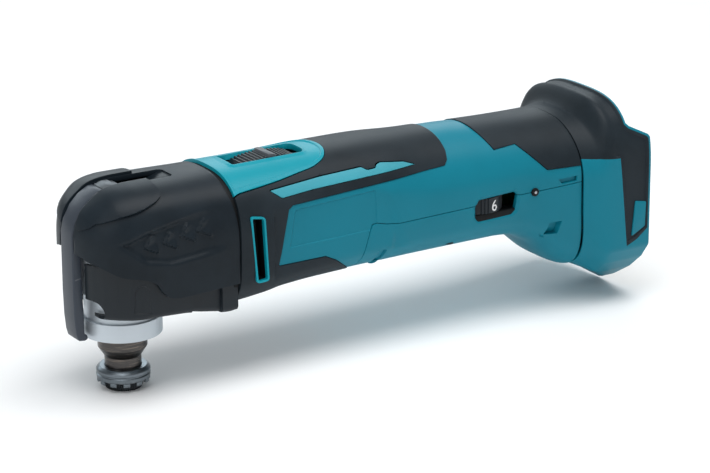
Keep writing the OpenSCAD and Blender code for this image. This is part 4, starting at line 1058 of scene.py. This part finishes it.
# Speed dial: fine ribs between six plain numbered faces.
dial = {"x": (dialBox[0].x + dialBox[1].x) / 2 / mm, "y": (dialBox[0].y + dialBox[1].y) / 2 / mm,
        "low": dialBox[0].z / mm, "high": dialBox[1].z / mm, "radius": 13.3, "rib": 0.45,
        "ribs": 45, "step": 54, "face": 14, "size": 7.6, "drop": 0.6, "paint": 0.07, "start": -78,
        "faces": 6}
rim = []
for k in range(dial["ribs"] * 8):
    angle = k * 360 / (dial["ribs"] * 8)
    radius = dial["radius"]
    offs = [abs((angle - dial["start"] + dial["step"] * i + 180) % 360 - 180) for i in range(dial["faces"])]
    if min(offs) > dial["face"] and k % 8 < 3:
        radius -= dial["rib"]
    rim.append(polar(radius, math.radians(angle)))
bm = slab(rim, dial["low"], dial["high"], axis="Z")
bmesh.ops.translate(bm, verts=bm.verts, vec=(dial["x"], dial["y"], 0))
finishPiece("speedDial", bm, black, "speed_dial", ("speed_dial",), "black_plastic")
bm = bmesh.new()
for i in range(dial["faces"]):
    curve = bpy.data.curves.new("digit", "FONT")
    curve.body = str(dial["faces"] - i)
    curve.size = dial["size"]
    curve.align_x = "CENTER"
    curve.align_y = "CENTER"
    curve.extrude = dial["paint"]
    holder = bpy.data.objects.new("digit", curve)
    flat = bpy.data.meshes.new_from_object(holder)
    digit = bmesh.new()
    digit.from_mesh(flat)
    bmesh.ops.remove_doubles(digit, verts=digit.verts, dist=0.001)
    for vert in digit.verts:
        angle = math.radians(dial["start"] - dial["step"] * i) + vert.co.x / dial["radius"]
        radius = dial["radius"] + vert.co.z
        vert.co = Vector((*polar(radius, angle, dial["x"], dial["y"]),
                          (dial["low"] + dial["high"]) / 2 - dial["drop"] + vert.co.y))
    pour(digit, bm)
    bpy.data.meshes.remove(flat)
    bpy.data.objects.remove(holder)
    bpy.data.curves.remove(curve)
finishPiece("dialDigits", bm, numeral, "speed_dial", (), "ivory_plastic")

# Dark sill under the dial, closing the window's lower edge.
sill = {"plan": [(172, -28.6), (197.8, -28.6), (197.8, -21), (172, -21)],
        "low": 48.4, "high": dial["low"] - 0.25, "edge": 0.3}
bm = slab(sill["plan"], sill["low"], sill["high"], sill["edge"], "Z")
finishPiece("dialSill", bm, deepBlack, slot="black_plastic")

# A screw head on each flank, in a dark ring.
screw = {"place": (206.6, 58.6), "angle": 40,
         "ring": {"radius": 2, "sides": 40, "low": 29, "high": 31.75, "edge": 0.3},
         "head": {"radius": 0.8, "sides": 32, "low": 29.5, "high": 31.95, "edge": 0.25}}
for name, part, finish, slot in (("screwRings", screw["ring"], deepBlack, "black_steel"),
                                 ("screwHeads", screw["head"], sheetSteel, "bearing_steel")):
    disc = circle(part["radius"], part["sides"], *screw["place"])
    bm = slab(disc, part["low"], part["high"], part["edge"], angle=screw["angle"])
    mirrorCopy(bm)
    finishPiece(name, bm, finish, slot=slot)
print("dial and screws made")

# Pale paper floor under the lowest point, and soft studio light.
stage = {"half": 3.0, "middle": 0.1, "air": 0.33, "airColour": (0.93, 0.97, 1.0, 1.0)}
paper = Shader("floorPaper")
floorPaper = paper.set(Base_Color=paper.mix(paper.noise(0.8, 1.0), rgb(0.95, 0.95, 0.95), rgb(0.97, 0.97, 0.97)),
                       Roughness=0.8, Specular_IOR_Level=0.2)
bm = bmesh.new()
bmesh.ops.create_grid(bm, x_segments=2, y_segments=2, size=stage["half"])
bmesh.ops.translate(bm, verts=bm.verts, vec=(stage["middle"], 0, floorZ))
floorMesh = bpy.data.meshes.new("studioFloor")
bm.to_mesh(floorMesh)
bm.free()
floorMesh.materials.append(floorPaper)
studioFloor = linked("studioFloor", floorMesh)

world = bpy.data.worlds.new("studioAir")
world.use_nodes = True
world.node_tree.nodes["Background"].inputs["Color"].default_value = stage["airColour"]
world.node_tree.nodes["Background"].inputs["Strength"].default_value = stage["air"]
bpy.context.scene.world = world


def softLight(name, place, aim, size, power, colour=(1, 1, 1)):
    lamp = bpy.data.lights.new(name, "AREA")
    lamp.shape = "RECTANGLE"
    lamp.size, lamp.size_y = size
    lamp.energy = power
    lamp.color = colour
    made = linked(name, lamp)
    made.location = place
    made.rotation_euler = (Vector(aim) - Vector(place)).to_track_quat("-Z", "Y").to_euler()


softLight("topBox", (0.16, -0.2, 1), (0.12, 0, 0.06), size=(1.3, 0.6), power=10)
softLight("backBox", (0.35, 0.95, 0.5), (0.12, 0, 0.06), size=(1.6, 0.4), power=5,
          colour=(0.85, 0.95, 1.0))
softLight("leftBox", (-0.85, -0.35, 0.5), (0.05, 0, 0.06), size=(0.5, 0.6), power=1.6)
softLight("frontFill", (0.45, -1.1, 0.5), (0.15, 0, 0.05), size=(0.9, 0.5), power=0.7)

# Camera: right, up and backward axes, and where it stands, in metres.
view = {
    "right": (0.8426349, -0.5384695, -0.0041349), "up": (0.1752328, 0.2669396, 0.947648),
    "back": (-0.5091757, -0.7992458, 0.3192901), "place": (-0.5833537, -1.1117916, 0.4868477),
    "lens": 149.766, "sensor": 36,
}
camera = bpy.data.cameras.new("studioCamera")
camera.lens = view["lens"]
camera.sensor_width = view["sensor"]
camera.clip_start = 0.05
cameraObject = linked("studioCamera", camera)
axes = Matrix((view["right"], view["up"], view["back"])).transposed().to_4x4()
cameraObject.matrix_world = Matrix.Translation(view["place"]) @ axes
bpy.context.scene.camera = cameraObject
bpy.context.scene.view_settings.view_transform = "Standard"
print("stage set")
